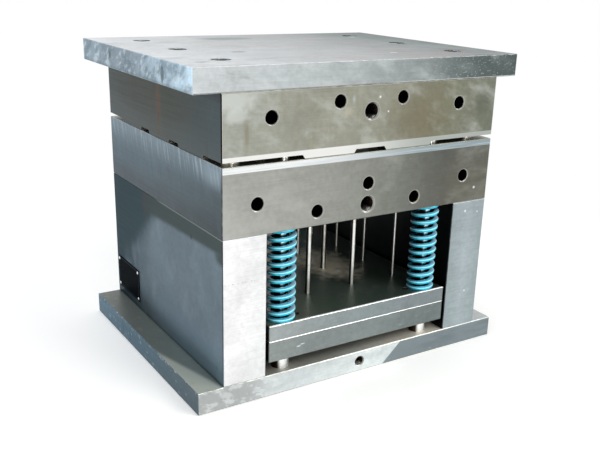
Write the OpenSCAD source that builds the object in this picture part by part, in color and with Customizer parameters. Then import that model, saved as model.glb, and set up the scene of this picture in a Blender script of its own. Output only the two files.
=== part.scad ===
// Compression mould on a two-plate base: clamp plates, a heated upper and lower mould plate with a
// force block and a cavity block, spacers, and a spring-returned ejector set between the spacers.
// Millimetres. X runs side to side, Y from the front to the back, Z up.
// The origin is the centre of the underside, and the model stands closed.

/* [Mould plates] */
// Width of the mould plates, side to side
mould_w = 450; // [440:5:560]
// Length of every plate, front to back
mould_l = 400; // [370:5:520]
// How far each clamp plate stands out past the mould plates at either side
clamp_overhang = 37.5; // [20:0.5:60]
// Thickness of the bottom clamp plate
bottom_clamp_h = 32; // [28:1:50]
// Thickness of the top clamp plate
top_clamp_h = 32; // [24:1:50]
// Thickness of the lower mould plate
lower_plate_h = 94; // [90:1:130]
// Thickness of the upper mould plate at its lands
upper_plate_h = 91; // [86:1:130]
// Chamfer broken on every plate edge
edge_chamfer = 1; // [0.4:0.1:2]

/* [Spacers] */
// Width of each spacer
spacer_w = 65; // [58:1:68]
// Height of each spacer
spacer_h = 207; // [190:1:280]

/* [Parting face] */
// Depth of the reliefs milled in the upper plate's underside
relief_h = 6; // [3:0.5:9]
// Length of a corner relief along the front and back edges
corner_relief_x = 120.5; // [95:0.5:140]
// Length of a corner relief along the side edges
corner_relief_y = 58; // [52:0.5:70]
// Width of the middle relief in the front and back edges
front_relief_w = 55; // [30:1:90]
// How far the middle relief reaches in from the front and back edges
front_relief_reach = 24; // [12:1:45]
// Width of each relief in the side edges
side_relief_w = 38.5; // [20:0.5:50]
// Distance of each side relief's middle from the plate's middle
side_relief_y = 51.75; // [45:0.25:60]
// How far each side relief reaches in from the side edge
side_relief_reach = 20; // [10:1:40]
// Slope of the relief ends, as length along the edge from the mouth to the full depth
relief_run = 4; // [1:0.5:7]

/* [Guide pins and bushes] */
// Diameter of the guide pins
guide_pin_d = 25; // [18:0.5:25.5]
// Distance of a guide pin's axis from the mould plate's side
guide_pin_edge_x = 27; // [24:0.5:27]
// Distance of a guide pin's axis from the mould plate's front or back
guide_pin_edge_y = 28; // [26:0.5:34]
// How much wider the head of a guide pin is than the pin
guide_head_extra = 6; // [2:0.5:8]
// Height of the guide pin's head
guide_head_h = 8; // [4:0.5:14]
// How far the guide pins stand out of the lower plate
guide_reach = 79; // [40:1:82]
// Length of the rounded lead at the guide pin's tip
guide_lead = 6; // [2:0.5:10]
// Wall thickness of a guide bush
bush_wall = 5; // [3:0.5:6]
// How much wider the collar of a bush is than the bush
bush_collar_extra = 5; // [2:0.5:8]
// Height of the bush collar
bush_collar_h = 6; // [3:0.5:12]
// Lead chamfer at the lower mouth of a bush
bush_lead = 1.5; // [0.5:0.5:2.5]
// Distance between the oil grooves round a guide pin
oil_groove_pitch = 8; // [5:0.5:8]
// Width of an oil groove at its mouth
oil_groove_w = 2.4; // [1:0.2:3]
// Depth of an oil groove
oil_groove_h = 0.8; // [0.3:0.1:1]

/* [Heating channels] */
// Diameter of the channels drilled from the front face to the back face
channel_d = 18; // [10:0.5:18]
// Chamfer at each channel mouth
channel_chamfer = 1; // [0.3:0.1:2]
// Upper plate: distance of the inner channels from the middle
upper_inner_x = 52; // [40:0.5:60]
// Upper plate: height of the inner channels above the parting plane
upper_inner_h = 71.4; // [62:0.2:75]
// Upper plate: distance of the outer channels from the middle
upper_outer_x = 155; // [140:0.5:160]
// Upper plate: height of the outer channels above the parting plane
upper_outer_h = 57.5; // [56:0.5:72]
// Lower plate: distance of the inner channels from the middle
lower_inner_x = 83; // [76:0.5:90]
// Lower plate: height of the inner channels above the underside
lower_inner_h = 20.4; // [14:0.2:48]
// Lower plate: distance of the outer channels from the middle
lower_outer_x = 174.5; // [160:0.5:174.5]
// Lower plate: height of the outer channels above the underside
lower_outer_h = 42; // [39:0.5:70]
// Lower plate: height of the middle channel above the underside
lower_middle_h = 50; // [42:0.5:53]

/* [Lifting holes] */
// Core diameter of the eyebolt threads in the mould plates
eye_d = 21; // [12:0.5:21]
// Depth of the eyebolt threads
eye_depth = 45; // [30:1:50]
// Chamfer at the mouth of the eyebolt threads
eye_chamfer = 2; // [0.5:0.1:3]
// Height of the upper plate's eyebolt hole above the parting plane
upper_eye_h = 55.7; // [30:0.1:70]
// Height of the lower plate's eyebolt hole above its underside
lower_eye_h = 20; // [16:0.5:25]
// Core diameter of the thread in the bottom clamp plate's edges
base_eye_d = 14; // [8:0.5:16]
// Depth of the thread in the bottom clamp plate's edges
base_eye_depth = 30; // [15:1:60]
// Chamfer at the mouth of the bottom clamp plate's threads
base_eye_chamfer = 1.5; // [0.5:0.1:3]

/* [Force and cavity blocks] */
// Side to side size of both blocks
block_w = 290; // [282:1:300]
// Front to back size of both blocks
block_l = 290; // [282:1:300]
// Corner radius of both blocks
block_corner_r = 12; // [6:1:14]
// Thickness of the cavity block
cavity_block_h = 30; // [24:1:32]
// Thickness of the force block
force_block_h = 45; // [25:1:46]
// Distance between cavity centres, both ways
cavity_pitch = 160; // [150:1:164]
// Side of each square cavity
cavity_size = 110; // [104:1:112]
// Corner radius of each cavity
cavity_corner_r = 10; // [4:1:16]
// Depth of each cavity below the parting plane
cavity_depth = 18; // [14:0.5:20]
// Height of the moulding space left under each force when the mould is shut
moulding_h = 8; // [5:0.5:12]
// Gap between a force and its cavity's wall
force_clearance = 0.15; // [0.05:0.05:0.5]
// Gap between a block and its pocket's wall
block_clearance = 0.05; // [0.02:0.01:0.2]

/* [Ejector set] */
// Gap between the ejector plates and each spacer
ejector_gap = 5; // [1:0.5:8]
// Height of the stop pads under the ejector plates
stop_pad_h = 19; // [10:0.5:30]
// Diameter of the stop pads
stop_pad_d = 25; // [14:0.5:26]
// Thickness of the ejector base plate
ejector_base_h = 31; // [20:0.5:40]
// Thickness of the retainer plate on it
retainer_h = 23; // [14:0.5:30]
// Diameter of the return pins
return_pin_d = 20; // [12:0.5:22]
// Distance of a return pin's axis from the ejector plate's side
return_pin_edge_x = 30; // [24:0.5:36]
// Distance of a return pin's axis from the ejector plate's front or back
return_pin_edge_y = 22; // [22:0.5:26]
// How much wider a return pin's head is than the pin
return_head_extra = 5; // [2:0.5:8]
// Height of a return pin's head
return_head_h = 8; // [4:0.5:10]
// Distance of the ejector pins from their cavity's centre, both ways
ejector_pin_offset = 40; // [30:0.5:44]
// Sideways shift of the whole ejector pin pattern
ejector_pin_shift = -4; // [-6:0.5:6]
// Diameter of the thick ejector pins, in the two inner columns
thick_pin_d = 8; // [6:0.5:10]
// Diameter of the thin ejector pins, in the two outer columns
thin_pin_d = 5; // [3:0.5:8]
// How much wider an ejector pin's head is than the pin
pin_head_extra = 5; // [3:0.5:6]
// Height of an ejector pin's head
pin_head_h = 6; // [3:0.5:8]
// Diameter of the knock-out hole in the bottom clamp plate
knock_out_d = 40; // [20:1:60]

/* [Return springs] */
// Outer diameter of the springs
spring_outer_d = 41.4; // [38:0.2:43]
// Width of the flat spring wire, across the coil
spring_wire_w = 8; // [4:0.5:8.5]
// Height of the flat spring wire, along the coil
spring_wire_h = 5; // [3:0.5:6]
// Working coils between the closed ends
spring_coils = 13; // [8:0.5:14]
// Depth of the pocket that takes a spring's upper end
spring_pocket_depth = 30; // [12:1:34]
// Gap between a spring and its pocket's wall
spring_pocket_gap = 0.8; // [0.3:0.1:1.5]

/* [Fasteners] */
// Thread of the screws that hold the clamp plates
clamp_screw_d = 16; // [10:1:16]
// Distance of the outer clamp screws from the front or back edge
clamp_screw_edge = 65; // [60:1:80]
// Length of the clamp screws' thread in the mould plates
clamp_screw_grip = 26; // [16:1:28]
// Thread of the screws that hold the force and cavity blocks
block_screw_d = 10; // [6:1:12]
// Length of their thread in the blocks
block_screw_grip = 13; // [8:1:16]
// Thread of the screws that hold the spacers to the bottom clamp plate
spacer_screw_d = 12; // [8:1:16]
// Length of their thread in the spacers
spacer_screw_grip = 25; // [12:1:40]
// Distance of those screws from the middle, front to back
spacer_screw_y = 67.5; // [40:0.5:95]
// Diameter of the dowels between spacer and bottom clamp plate
dowel_d = 12; // [6:1:16]
// Length of each dowel in either piece
dowel_half = 15; // [8:1:24]
// Distance of the dowels from the front or back edge
dowel_edge = 30; // [20:1:40]
// Thread of the screws that join the ejector plates
tie_screw_d = 10; // [6:1:10]
// Distance of those screws from the ejector plate's side
tie_screw_edge_x = 56; // [56:0.5:62]
// Distance of the outer ones from the ejector plate's front or back
tie_screw_edge_y = 24; // [16:0.5:40]
// Thread of the screws in the stop pads
pad_screw_d = 6; // [4:0.5:8]
// Gap round a screw's shank in its through hole
screw_clearance = 0.5; // [0.2:0.1:1]
// Gap round a screw's head in its counterbore
head_clearance = 1; // [0.5:0.1:1.5]

/* [Fits] */
// Running gap round the guide pins, return pins and ejector pins, on the radius
running_gap = 0.03; // [0.01:0.01:0.1]
// Gap round pieces that are pressed home, on the radius
press_gap = 0.01; // [0:0.01:0.02]
// Gap round the ejector pins in the plates that don't guide them, on the radius
pin_relief = 0.5; // [0.2:0.1:1]
// Gap left above the return pins when the mould is shut
return_pin_gap = 0.1; // [0.02:0.02:0.3]

/* [Name plate] */
// Length of the blank name plate on the left spacer
name_plate_w = 92; // [50:1:120]
// Height of the name plate
name_plate_h = 54; // [30:1:70]
// Thickness of the name plate
name_plate_t = 1; // [0.5:0.1:3]
// Distance of the name plate from the spacer's back edge
name_plate_edge = 7; // [4:0.5:40]
// Distance of the name plate above the bottom clamp plate
name_plate_rise = 12.5; // [5:0.5:60]
// Diameter of its rivets
rivet_d = 3.2; // [2:0.2:4]
// Distance of a rivet from the name plate's edges
rivet_edge = 4.5; // [3.5:0.5:8]
// Length of a rivet's shank in the spacer
rivet_grip = 6; // [3:0.5:10]

/* [Hidden] */
$fn = 64;

// Heights of the faces, from the floor up
spacer_z = bottom_clamp_h;
lower_plate_z = spacer_z + spacer_h;
parting_z = lower_plate_z + lower_plate_h;
top_clamp_z = parting_z + upper_plate_h;
top_z = top_clamp_z + top_clamp_h;
relief_z = parting_z + relief_h;
ejector_z = bottom_clamp_h + stop_pad_h;
retainer_z = ejector_z + ejector_base_h;
retainer_top_z = retainer_z + retainer_h;
cavity_floor_z = parting_z - cavity_depth;
force_tip_z = cavity_floor_z + moulding_h;
block_pocket_z = parting_z - cavity_block_h;
force_block_z = parting_z + force_block_h;
spring_top_z = lower_plate_z + spring_pocket_depth;

// Plan sizes and places
clamp_w = mould_w + 2 * clamp_overhang;
spacer_x = mould_w / 2 - spacer_w / 2;
ejector_w = mould_w - 2 * spacer_w - 2 * ejector_gap;
guide_x = mould_w / 2 - guide_pin_edge_x;
guide_y = mould_l / 2 - guide_pin_edge_y;
return_x = ejector_w / 2 - return_pin_edge_x;
return_y = mould_l / 2 - return_pin_edge_y;
tie_x = ejector_w / 2 - tie_screw_edge_x;
tie_y = mould_l / 2 - tie_screw_edge_y;
dowel_y = mould_l / 2 - dowel_edge;
clamp_screw_y = mould_l / 2 - clamp_screw_edge;
guide_head_d = guide_pin_d + guide_head_extra;
return_head_d = return_pin_d + return_head_extra;
bush_d = guide_pin_d + 2 * bush_wall;
guide_top_z = parting_z + guide_reach;
name_plate_y = mould_l / 2 - name_plate_edge - name_plate_w / 2;
name_plate_z = spacer_z + name_plate_rise + name_plate_h / 2;
rivet_y = name_plate_w / 2 - rivet_edge;
rivet_z = name_plate_h / 2 - rivet_edge;
rivet_head_h = 0.3 * rivet_d;
rivet_head_d = 1.7 * rivet_d;
name_plate_bevel = 0.3 * name_plate_t;
pad_screw_grip = 2 * pad_screw_d;
corners = [[-1, -1], [1, -1], [-1, 1], [1, 1]];

// A cutter passes this far beyond the face that it opens
through = 2;
// Overlap that joins two round lengths of one piece
join = 0.01;
// Gap between a screw and its tapped hole, and the hole's spare depth past the screw's end
thread_gap = 0.05;
tap_spare = 2;
// How far a screw's head or end lies below the face
head_sink = 1;
// Broken edge at the tip of an ejector pin and of a return pin
pin_break = 0.2;
return_break = 1;
// Rounded lead of a pin as [inwards, below the tip], in lengths of the lead
lead_curve = [[0, 1], [0.12, 0.45], [0.4, 0]];

// Places of the screws, pins and dowels
clamp_screw_places = [for (x = [-spacer_x, spacer_x], i = [-1, 0, 1]) [x, i * clamp_screw_y]];
spacer_screw_places = [for (x = [-spacer_x, spacer_x], i = [-1, 1]) [x, i * spacer_screw_y]];
dowel_places = [for (x = [-spacer_x, spacer_x], i = [-1, 1]) [x, i * dowel_y]];
tie_screw_places = [for (x = [-tie_x, tie_x], i = [-1, 0, 1]) [x, i * tie_y]];
guide_places = [for (c = corners) [c[0] * guide_x, c[1] * guide_y]];
// The stop pads stand under the return pins
stop_places = [for (c = corners) [c[0] * return_x, c[1] * return_y]];
cavity_places = [for (c = corners) c * cavity_pitch / 2];
// The block screws stand midway between the channels, the outer ones a little further in
outer_screw_shift = 8;
cavity_screw_x = [lower_inner_x / 2, (lower_inner_x + lower_outer_x) / 2 - outer_screw_shift];
cavity_screw_places = [for (x = cavity_screw_x, s = [-1, 1]) [s * x, 0]];
force_screw_x = (upper_inner_x + upper_outer_x) / 2;
force_screw_y = 0.36 * block_l;
force_screw_places = [for (s = [-1, 1], i = [-1, 0, 1]) [s * force_screw_x, i * force_screw_y]];
pin_shift = [ejector_pin_shift, 0];
thick_pin_places = [for (c = cavity_places, i = [-1, 1]) c + ejector_pin_offset * [-sign(c[0]), i] + pin_shift];
thin_pin_places = [for (c = cavity_places, i = [-1, 1]) c + ejector_pin_offset * [sign(c[0]), i] + pin_shift];

// Standard proportions of a socket head cap screw of thread d
screw_bevel = 0.08;
function head_d(d) = 1.5 * d;
function socket_d(d) = 0.85 * d / cos(30);

// Outline of a rectangle a by b, centred, with its corners cut off by c
function cut_rectangle(a, b, c) = [
    [-a / 2 + c, -b / 2], [a / 2 - c, -b / 2], [a / 2, -b / 2 + c], [a / 2, b / 2 - c],
    [a / 2 - c, b / 2], [-a / 2 + c, b / 2], [-a / 2, b / 2 - c], [-a / 2, -b / 2 + c]
];

// A ground plate standing on z = 0, with every edge broken by the chamfer c
module plate(w, l, h, c = edge_chamfer) {
    intersection() {
        linear_extrude(h) polygon(cut_rectangle(w, l, c));
        translate([0, l / 2, h / 2]) rotate([90, 0, 0]) linear_extrude(l) polygon(cut_rectangle(w, h, c));
        translate([-w / 2, 0, h / 2]) rotate([90, 0, 90]) linear_extrude(w) polygon(cut_rectangle(l, h, c));
    }
}

// A block with round upright corners, standing on z = 0
module round_block(w, l, h, r) {
    translate([-w / 2 + r, -l / 2, 0]) cube([w - 2 * r, l, h]);
    translate([-w / 2, -l / 2 + r, 0]) cube([w, l - 2 * r, h]);
    for (c = corners) translate([c[0] * (w / 2 - r), c[1] * (l / 2 - r), 0]) cylinder(h = h, r = r);
}

// Moves its children to every place in the list
module at(places) {
    for (p = places) translate([p[0], p[1], 0]) children();
}

// Upright round cutter from z0 to z1
module drill(z0, z1, d) {
    translate([0, 0, z0]) cylinder(h = z1 - z0, d = d);
}

// Upright round cutter that passes beyond both z0 and z1
module bore(z0, z1, d) {
    drill(z0 - through, z1 + through, d);
}

// Cutter for a tapped hole of thread d that opens at z0 and takes a screw whose end is at z1
module tapped(z0, z1, d) {
    way = sign(z1 - z0);
    z = [z0 - way * through, z1 + way * tap_spare];
    drill(min(z), max(z), d + 2 * thread_gap);
}

// Cutter for a drilled channel right through the plate, chamfered at both mouths
module channel(x, z) {
    mouth = channel_d / 2 + channel_chamfer;
    translate([x, mould_l / 2 + through, z]) rotate([90, 0, 0]) cylinder(h = mould_l + 2 * through, d = channel_d);
    for (side = [0, 180]) {
        translate([x, 0, z]) rotate([0, 0, side]) translate([0, -mould_l / 2, 0]) rotate([-90, 0, 0])
            cylinder(h = channel_chamfer, r1 = mouth, r2 = channel_d / 2);
    }
}

// Cutter for a blind lifting thread in the front face and its twin in the back face
module lifting_holes(z, d, depth, chamfer) {
    for (side = [0, 180]) rotate([0, 0, side]) translate([0, -mould_l / 2, z]) rotate([-90, 0, 0]) {
        translate([0, 0, -through]) cylinder(h = depth + through, d = d);
        cylinder(h = chamfer, r1 = d / 2 + chamfer, r2 = d / 2);
    }
}

// Socket head cap screw: the head's underside is at z = 0, the shank hangs down by l
module cap_screw(d, l) {
    bevel = d * screw_bevel;
    difference() {
        union() {
            cylinder(h = d - bevel, d = head_d(d));
            translate([0, 0, d - bevel]) cylinder(h = bevel, d1 = head_d(d), d2 = head_d(d) - 2 * bevel);
            translate([0, 0, -l + bevel]) cylinder(h = l - bevel + join, d = d);
            translate([0, 0, -l]) cylinder(h = bevel, d1 = d - 2 * bevel, d2 = d);
        }
        translate([0, 0, d / 2]) cylinder(h = d, d = socket_d(d), $fn = 6);
    }
}

// Straight pin with a flat head at its foot, from z0 to z1, with a rounded lead at its tip
module headed_pin(z0, z1, d, head, head_h, lead) {
    l = z1 - z0;
    tip = [for (p = lead_curve) [d / 2 - lead * p[0], l - lead * p[1]]];
    translate([0, 0, z0]) rotate_extrude()
        polygon(concat([[0, 0], [head / 2, 0], [head / 2, head_h], [d / 2, head_h]], tip, [[0, l]]));
}

// Bottom clamp plate: counterbored from below, with the knock-out hole in the middle
module bottom_clamp_plate() {
    color([0.60, 0.64, 0.68]) difference() {
        plate(clamp_w, mould_l, bottom_clamp_h);
        at(clamp_screw_places) screw_hole_up(clamp_screw_d, bottom_clamp_h);
        at(spacer_screw_places) screw_hole_up(spacer_screw_d, bottom_clamp_h);
        at(dowel_places) drill(bottom_clamp_h - dowel_half, bottom_clamp_h + through, dowel_d + 2 * press_gap);
        at(stop_places) tapped(bottom_clamp_h, bottom_clamp_h - pad_screw_grip, pad_screw_d);
        bore(0, bottom_clamp_h, knock_out_d);
        lifting_holes(bottom_clamp_h / 2, base_eye_d, base_eye_depth, base_eye_chamfer);
    }
}

// Cutter for a screw put in from below: counterbore from z = 0, clearance hole up to the plate's top
module screw_hole_up(d, top) {
    drill(-through, d + head_sink, head_d(d) + 2 * head_clearance);
    drill(0, top + through, d + 2 * screw_clearance);
}

// Spacer between the bottom clamp plate and the lower mould plate; side is -1 at the left, 1 at the right
module spacer(side) {
    color([0.74, 0.78, 0.82]) difference() {
        translate([side * spacer_x, 0, spacer_z]) plate(spacer_w, mould_l, spacer_h);
        at(clamp_screw_places) bore(spacer_z, lower_plate_z, clamp_screw_d + 2 * screw_clearance);
        at(spacer_screw_places) tapped(spacer_z, spacer_z + spacer_screw_grip, spacer_screw_d);
        at(dowel_places) drill(spacer_z - through, spacer_z + dowel_half, dowel_d + 2 * press_gap);
        if (side < 0) at_rivets() drill(-rivet_grip, through, rivet_d + 2 * press_gap);
    }
}

// Moves its children to the rivets on the left spacer's outer face, with +Z out of that face
module at_rivets() {
    for (c = corners)
        translate([-mould_w / 2, name_plate_y + c[0] * rivet_y, name_plate_z + c[1] * rivet_z])
            rotate([0, -90, 0]) children();
}

// Lower mould plate: block pocket on top, spring pockets below, channels and lifting threads
module lower_mould_plate() {
    color([0.63, 0.62, 0.58]) difference() {
        translate([0, 0, lower_plate_z]) plate(mould_w, mould_l, lower_plate_h);
        translate([0, 0, block_pocket_z]) block_pocket(cavity_block_h + through);
        at(guide_places) bore(lower_plate_z, parting_z, guide_pin_d + 2 * press_gap);
        at(guide_places) drill(lower_plate_z - through, lower_plate_z + guide_head_h, guide_head_d + 2 * press_gap);
        at(stop_places) drill(lower_plate_z - through, spring_top_z, spring_outer_d + 2 * spring_pocket_gap);
        at(stop_places) drill(lower_plate_z, parting_z + through, return_pin_d + 2 * running_gap);
        at(thick_pin_places) bore(lower_plate_z, block_pocket_z, thick_pin_d + 2 * pin_relief);
        at(thin_pin_places) bore(lower_plate_z, block_pocket_z, thin_pin_d + 2 * pin_relief);
        at(clamp_screw_places) tapped(lower_plate_z, lower_plate_z + clamp_screw_grip, clamp_screw_d);
        at(cavity_screw_places) translate([0, 0, lower_plate_z])
            screw_hole_up(block_screw_d, block_pocket_z - lower_plate_z);
        for (x = [-lower_inner_x, lower_inner_x]) channel(x, lower_plate_z + lower_inner_h);
        for (x = [-lower_outer_x, lower_outer_x]) channel(x, lower_plate_z + lower_outer_h);
        channel(0, lower_plate_z + lower_middle_h);
        lifting_holes(lower_plate_z + lower_eye_h, eye_d, eye_depth, eye_chamfer);
    }
}

// Cutter for the pocket of a force or cavity block, h high
module block_pocket(h) {
    round_block(block_w + 2 * block_clearance, block_l + 2 * block_clearance, h, block_corner_r + block_clearance);
}

// Cavity block: four square cavities, each with four ejector pin holes in its floor
module cavity_block() {
    color([0.72, 0.73, 0.74]) difference() {
        translate([0, 0, block_pocket_z]) round_block(block_w, block_l, cavity_block_h, block_corner_r);
        at(cavity_places) translate([0, 0, cavity_floor_z])
            round_block(cavity_size, cavity_size, cavity_depth + through, cavity_corner_r);
        at(thick_pin_places) bore(block_pocket_z, cavity_floor_z, thick_pin_d + 2 * running_gap);
        at(thin_pin_places) bore(block_pocket_z, cavity_floor_z, thin_pin_d + 2 * running_gap);
        at(cavity_screw_places) tapped(block_pocket_z, block_pocket_z + block_screw_grip, block_screw_d);
    }
}

// Guide pin, pressed into the lower plate with its head over the spacer, with three oil grooves
module guide_pin(i) {
    color([0.82, 0.83, 0.85]) at([guide_places[i]]) difference() {
        headed_pin(lower_plate_z, guide_top_z, guide_pin_d, guide_head_d, guide_head_h, guide_lead);
        for (k = [1 : 3]) translate([0, 0, guide_top_z - guide_lead - k * oil_groove_pitch]) oil_groove();
    }
}

// Ring cutter for an oil groove, with its sides at a slope
module oil_groove() {
    r = guide_pin_d / 2;
    rotate_extrude() polygon([
        [r - oil_groove_h, -oil_groove_w / 4], [r + oil_groove_h, -oil_groove_w * 3 / 4],
        [r + oil_groove_h, oil_groove_w * 3 / 4], [r - oil_groove_h, oil_groove_w / 4]
    ]);
}

// Screws from below through the bottom clamp plate and the spacers into the lower mould plate
module base_screws() {
    head_z = clamp_screw_d + head_sink;
    color([0.16, 0.16, 0.17]) at(clamp_screw_places) translate([0, 0, head_z]) mirror([0, 0, 1])
        cap_screw(clamp_screw_d, lower_plate_z + clamp_screw_grip - head_z);
}

// Short screws from below that hold the spacers to the bottom clamp plate
module spacer_screws() {
    head_z = spacer_screw_d + head_sink;
    color([0.16, 0.16, 0.17]) at(spacer_screw_places) translate([0, 0, head_z]) mirror([0, 0, 1])
        cap_screw(spacer_screw_d, spacer_z + spacer_screw_grip - head_z);
}

// Dowels between the bottom clamp plate and the spacers
module spacer_dowels() {
    color([0.78, 0.79, 0.81]) at(dowel_places) drill(spacer_z - dowel_half, spacer_z + dowel_half, dowel_d);
}

// Screws from below that hold the cavity block in the lower plate's pocket
module cavity_block_screws() {
    head_z = lower_plate_z + block_screw_d + head_sink;
    color([0.16, 0.16, 0.17]) at(cavity_screw_places) translate([0, 0, head_z]) mirror([0, 0, 1])
        cap_screw(block_screw_d, block_pocket_z + block_screw_grip - head_z);
}

// Stop pads on the bottom clamp plate, under the return pins
module stop_pads() {
    color([0.80, 0.81, 0.83]) at(stop_places) difference() {
        translate([0, 0, bottom_clamp_h]) cylinder(h = stop_pad_h, d = stop_pad_d);
        bore(bottom_clamp_h, ejector_z, pad_screw_d + 2 * screw_clearance);
        drill(ejector_z - pad_screw_d - head_sink, ejector_z + through, head_d(pad_screw_d) + head_clearance);
    }
}

// Screws sunk in the stop pads
module stop_pad_screws() {
    head_z = ejector_z - pad_screw_d - head_sink;
    color([0.16, 0.16, 0.17]) at(stop_places) translate([0, 0, head_z])
        cap_screw(pad_screw_d, head_z - bottom_clamp_h + pad_screw_grip);
}

// Blank name plate on the left spacer
module name_plate() {
    color([0.07, 0.08, 0.09]) difference() {
        translate([-mould_w / 2, name_plate_y, name_plate_z]) rotate([0, -90, 0])
            plate(name_plate_h, name_plate_w, name_plate_t, name_plate_bevel);
        at_rivets() bore(0, name_plate_t, rivet_d + 2 * press_gap);
    }
}

// Round-headed rivets in the corners of the name plate
module name_plate_rivets() {
    color([0.85, 0.85, 0.83]) at_rivets() {
        translate([0, 0, -rivet_grip]) cylinder(h = rivet_grip + name_plate_t + join, d = rivet_d);
        translate([0, 0, name_plate_t]) cylinder(h = rivet_head_h, d1 = rivet_head_d, d2 = rivet_d);
    }
}

// Flat-wire return spring with closed and ground ends. The centre line rises slowly over the first
// and last turn and evenly in between, and the wire's section is cut off at both end planes.
spring_length = spring_top_z - retainer_top_z;
spring_steps = 16;
spring_turns = spring_coils + 2;
closed_rise = spring_wire_h * 1.12;
ground_tip = spring_wire_h * 0.25;
spring_rise = spring_length + 2 * ground_tip;
open_rise = (spring_rise - 2 * closed_rise) / spring_coils;
wire_chamfer = spring_wire_h * 0.22;

// Height of the wire's centre line after t turns
function wire_z(t) =
    t < 1 ? closed_rise * t
    : t < spring_turns - 1 ? closed_rise + open_rise * (t - 1)
    : spring_rise - closed_rise * (spring_turns - t);

// The wire's section as [radius, height], cut at the corners that face out
function wire_section() =
    let (r = spring_outer_d / 2, h = spring_wire_h / 2, c = wire_chamfer) [
        [r - spring_wire_w, -h], [r - c, -h], [r, -h + c], [r, h - c], [r - c, h], [r - spring_wire_w, h]
    ];

// One point of the swept wire, held between the two ground end planes
function wire_point(p, t) =
    let (z = wire_z(t) - ground_tip + p[1])
    [p[0] * cos(360 * t), p[0] * sin(360 * t), min(max(z, 0), spring_length)];

module return_spring(i) {
    section = wire_section();
    m = len(section);
    rings = round(spring_turns * spring_steps);
    points = [for (k = [0 : rings], p = section) wire_point(p, k * spring_turns / rings)];
    sides = [
        for (k = [0 : rings - 1], j = [0 : m - 1])
            let (a = k * m + j, b = k * m + (j + 1) % m)
            each [[a, a + m, b], [b, a + m, b + m]]
    ];
    first = fan(4, m);
    last = [for (f = fan(1, m)) [f[0], f[2], f[1]] + rings * m * [1, 1, 1]];
    color([0.24, 0.58, 0.78]) at([stop_places[i]]) translate([0, 0, retainer_top_z])
        polyhedron(points, concat(sides, first, last), convexity = 20);
}

// Triangles of an end face of m points, fanned out from the point that lies off its ground edge
function fan(apex, m) = [for (j = [1 : m - 2]) [apex, (apex + j) % m, (apex + j + 1) % m]];

// Top clamp plate with counterbores from above
module top_clamp_plate() {
    color([0.66, 0.70, 0.73]) difference() {
        translate([0, 0, top_clamp_z]) plate(clamp_w, mould_l, top_clamp_h);
        at(clamp_screw_places) translate([0, 0, top_z]) mirror([0, 0, 1]) screw_hole_up(clamp_screw_d, top_clamp_h);
    }
}

// Screws from above through the top clamp plate into the upper mould plate
module top_clamp_screws() {
    head_z = top_z - clamp_screw_d - head_sink;
    color([0.30, 0.30, 0.31]) at(clamp_screw_places) translate([0, 0, head_z])
        cap_screw(clamp_screw_d, head_z - top_clamp_z + clamp_screw_grip);
}

// Upper mould plate: block pocket and reliefs below, collar seats above, channels and lifting threads
module upper_mould_plate() {
    collar_d = bush_d + bush_collar_extra + 2 * press_gap;
    color([0.60, 0.58, 0.54]) difference() {
        translate([0, 0, parting_z]) plate(mould_w, mould_l, upper_plate_h);
        translate([0, 0, parting_z - through]) block_pocket(force_block_h + through);
        reliefs();
        at(guide_places) drill(parting_z, top_clamp_z + through, bush_d + 2 * press_gap);
        at(guide_places) drill(top_clamp_z - bush_collar_h, top_clamp_z + through, collar_d);
        at(clamp_screw_places) tapped(top_clamp_z, top_clamp_z - clamp_screw_grip, clamp_screw_d);
        at(force_screw_places) translate([0, 0, top_clamp_z]) mirror([0, 0, 1])
            screw_hole_up(block_screw_d, top_clamp_z - force_block_z);
        for (x = [-upper_inner_x, upper_inner_x]) channel(x, parting_z + upper_inner_h);
        for (x = [-upper_outer_x, upper_outer_x]) channel(x, parting_z + upper_outer_h);
        lifting_holes(parting_z + upper_eye_h, eye_d, eye_depth, eye_chamfer);
    }
}

// Cutters for the reliefs round the parting face: four corners, two in front and back, four at the sides
module reliefs() {
    for (side = [0, 180]) rotate([0, 0, side]) {
        translate([0, -mould_l / 2, 0]) edge_relief(front_relief_w, front_relief_reach);
        for (y = [-side_relief_y, side_relief_y])
            translate([-mould_w / 2, y, 0]) rotate([0, 0, -90]) edge_relief(side_relief_w, side_relief_reach);
    }
    for (c = corners) scale_to(c) corner_relief();
}

// Mirrors its children into the quarter that the signs in c name
module scale_to(c) {
    mirror([c[0] < 0 ? 1 : 0, 0, 0]) mirror([0, c[1] < 0 ? 1 : 0, 0]) children();
}

// Profile of a relief, w wide at the mouth, with sloping ends, drawn over height
function relief_outline(w) = [
    [-w / 2 - relief_run * through / relief_h, -through], [w / 2 + relief_run * through / relief_h, -through],
    [w / 2 - relief_run, relief_h], [-w / 2 + relief_run, relief_h]
];

// Relief in an edge along X whose face looks towards -Y, at y = 0
module edge_relief(w, reach) {
    translate([0, reach, parting_z]) rotate([90, 0, 0]) linear_extrude(reach + through) polygon(relief_outline(w));
}

// Relief of the corner at +X +Y: it meets both edges, and slopes where it ends on either
module corner_relief() {
    wide_x = 2 * (corner_relief_x + through);
    wide_y = 2 * (corner_relief_y + through);
    translate([mould_w / 2 + through, mould_l / 2 + through, parting_z]) intersection() {
        rotate([90, 0, 0]) linear_extrude(wide_y) polygon(relief_outline(wide_x));
        rotate([90, 0, -90]) linear_extrude(wide_x) polygon(relief_outline(wide_y));
    }
}

// Force block: four forces that enter the cavities
module force_block() {
    force_size = cavity_size - 2 * force_clearance;
    force_h = parting_z - force_tip_z + through;
    color([0.72, 0.73, 0.74]) difference() {
        union() {
            translate([0, 0, parting_z]) round_block(block_w, block_l, force_block_h, block_corner_r);
            at(cavity_places) translate([0, 0, force_tip_z])
                round_block(force_size, force_size, force_h, cavity_corner_r - force_clearance);
        }
        at(force_screw_places) tapped(force_block_z, force_block_z - block_screw_grip, block_screw_d);
    }
}

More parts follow.
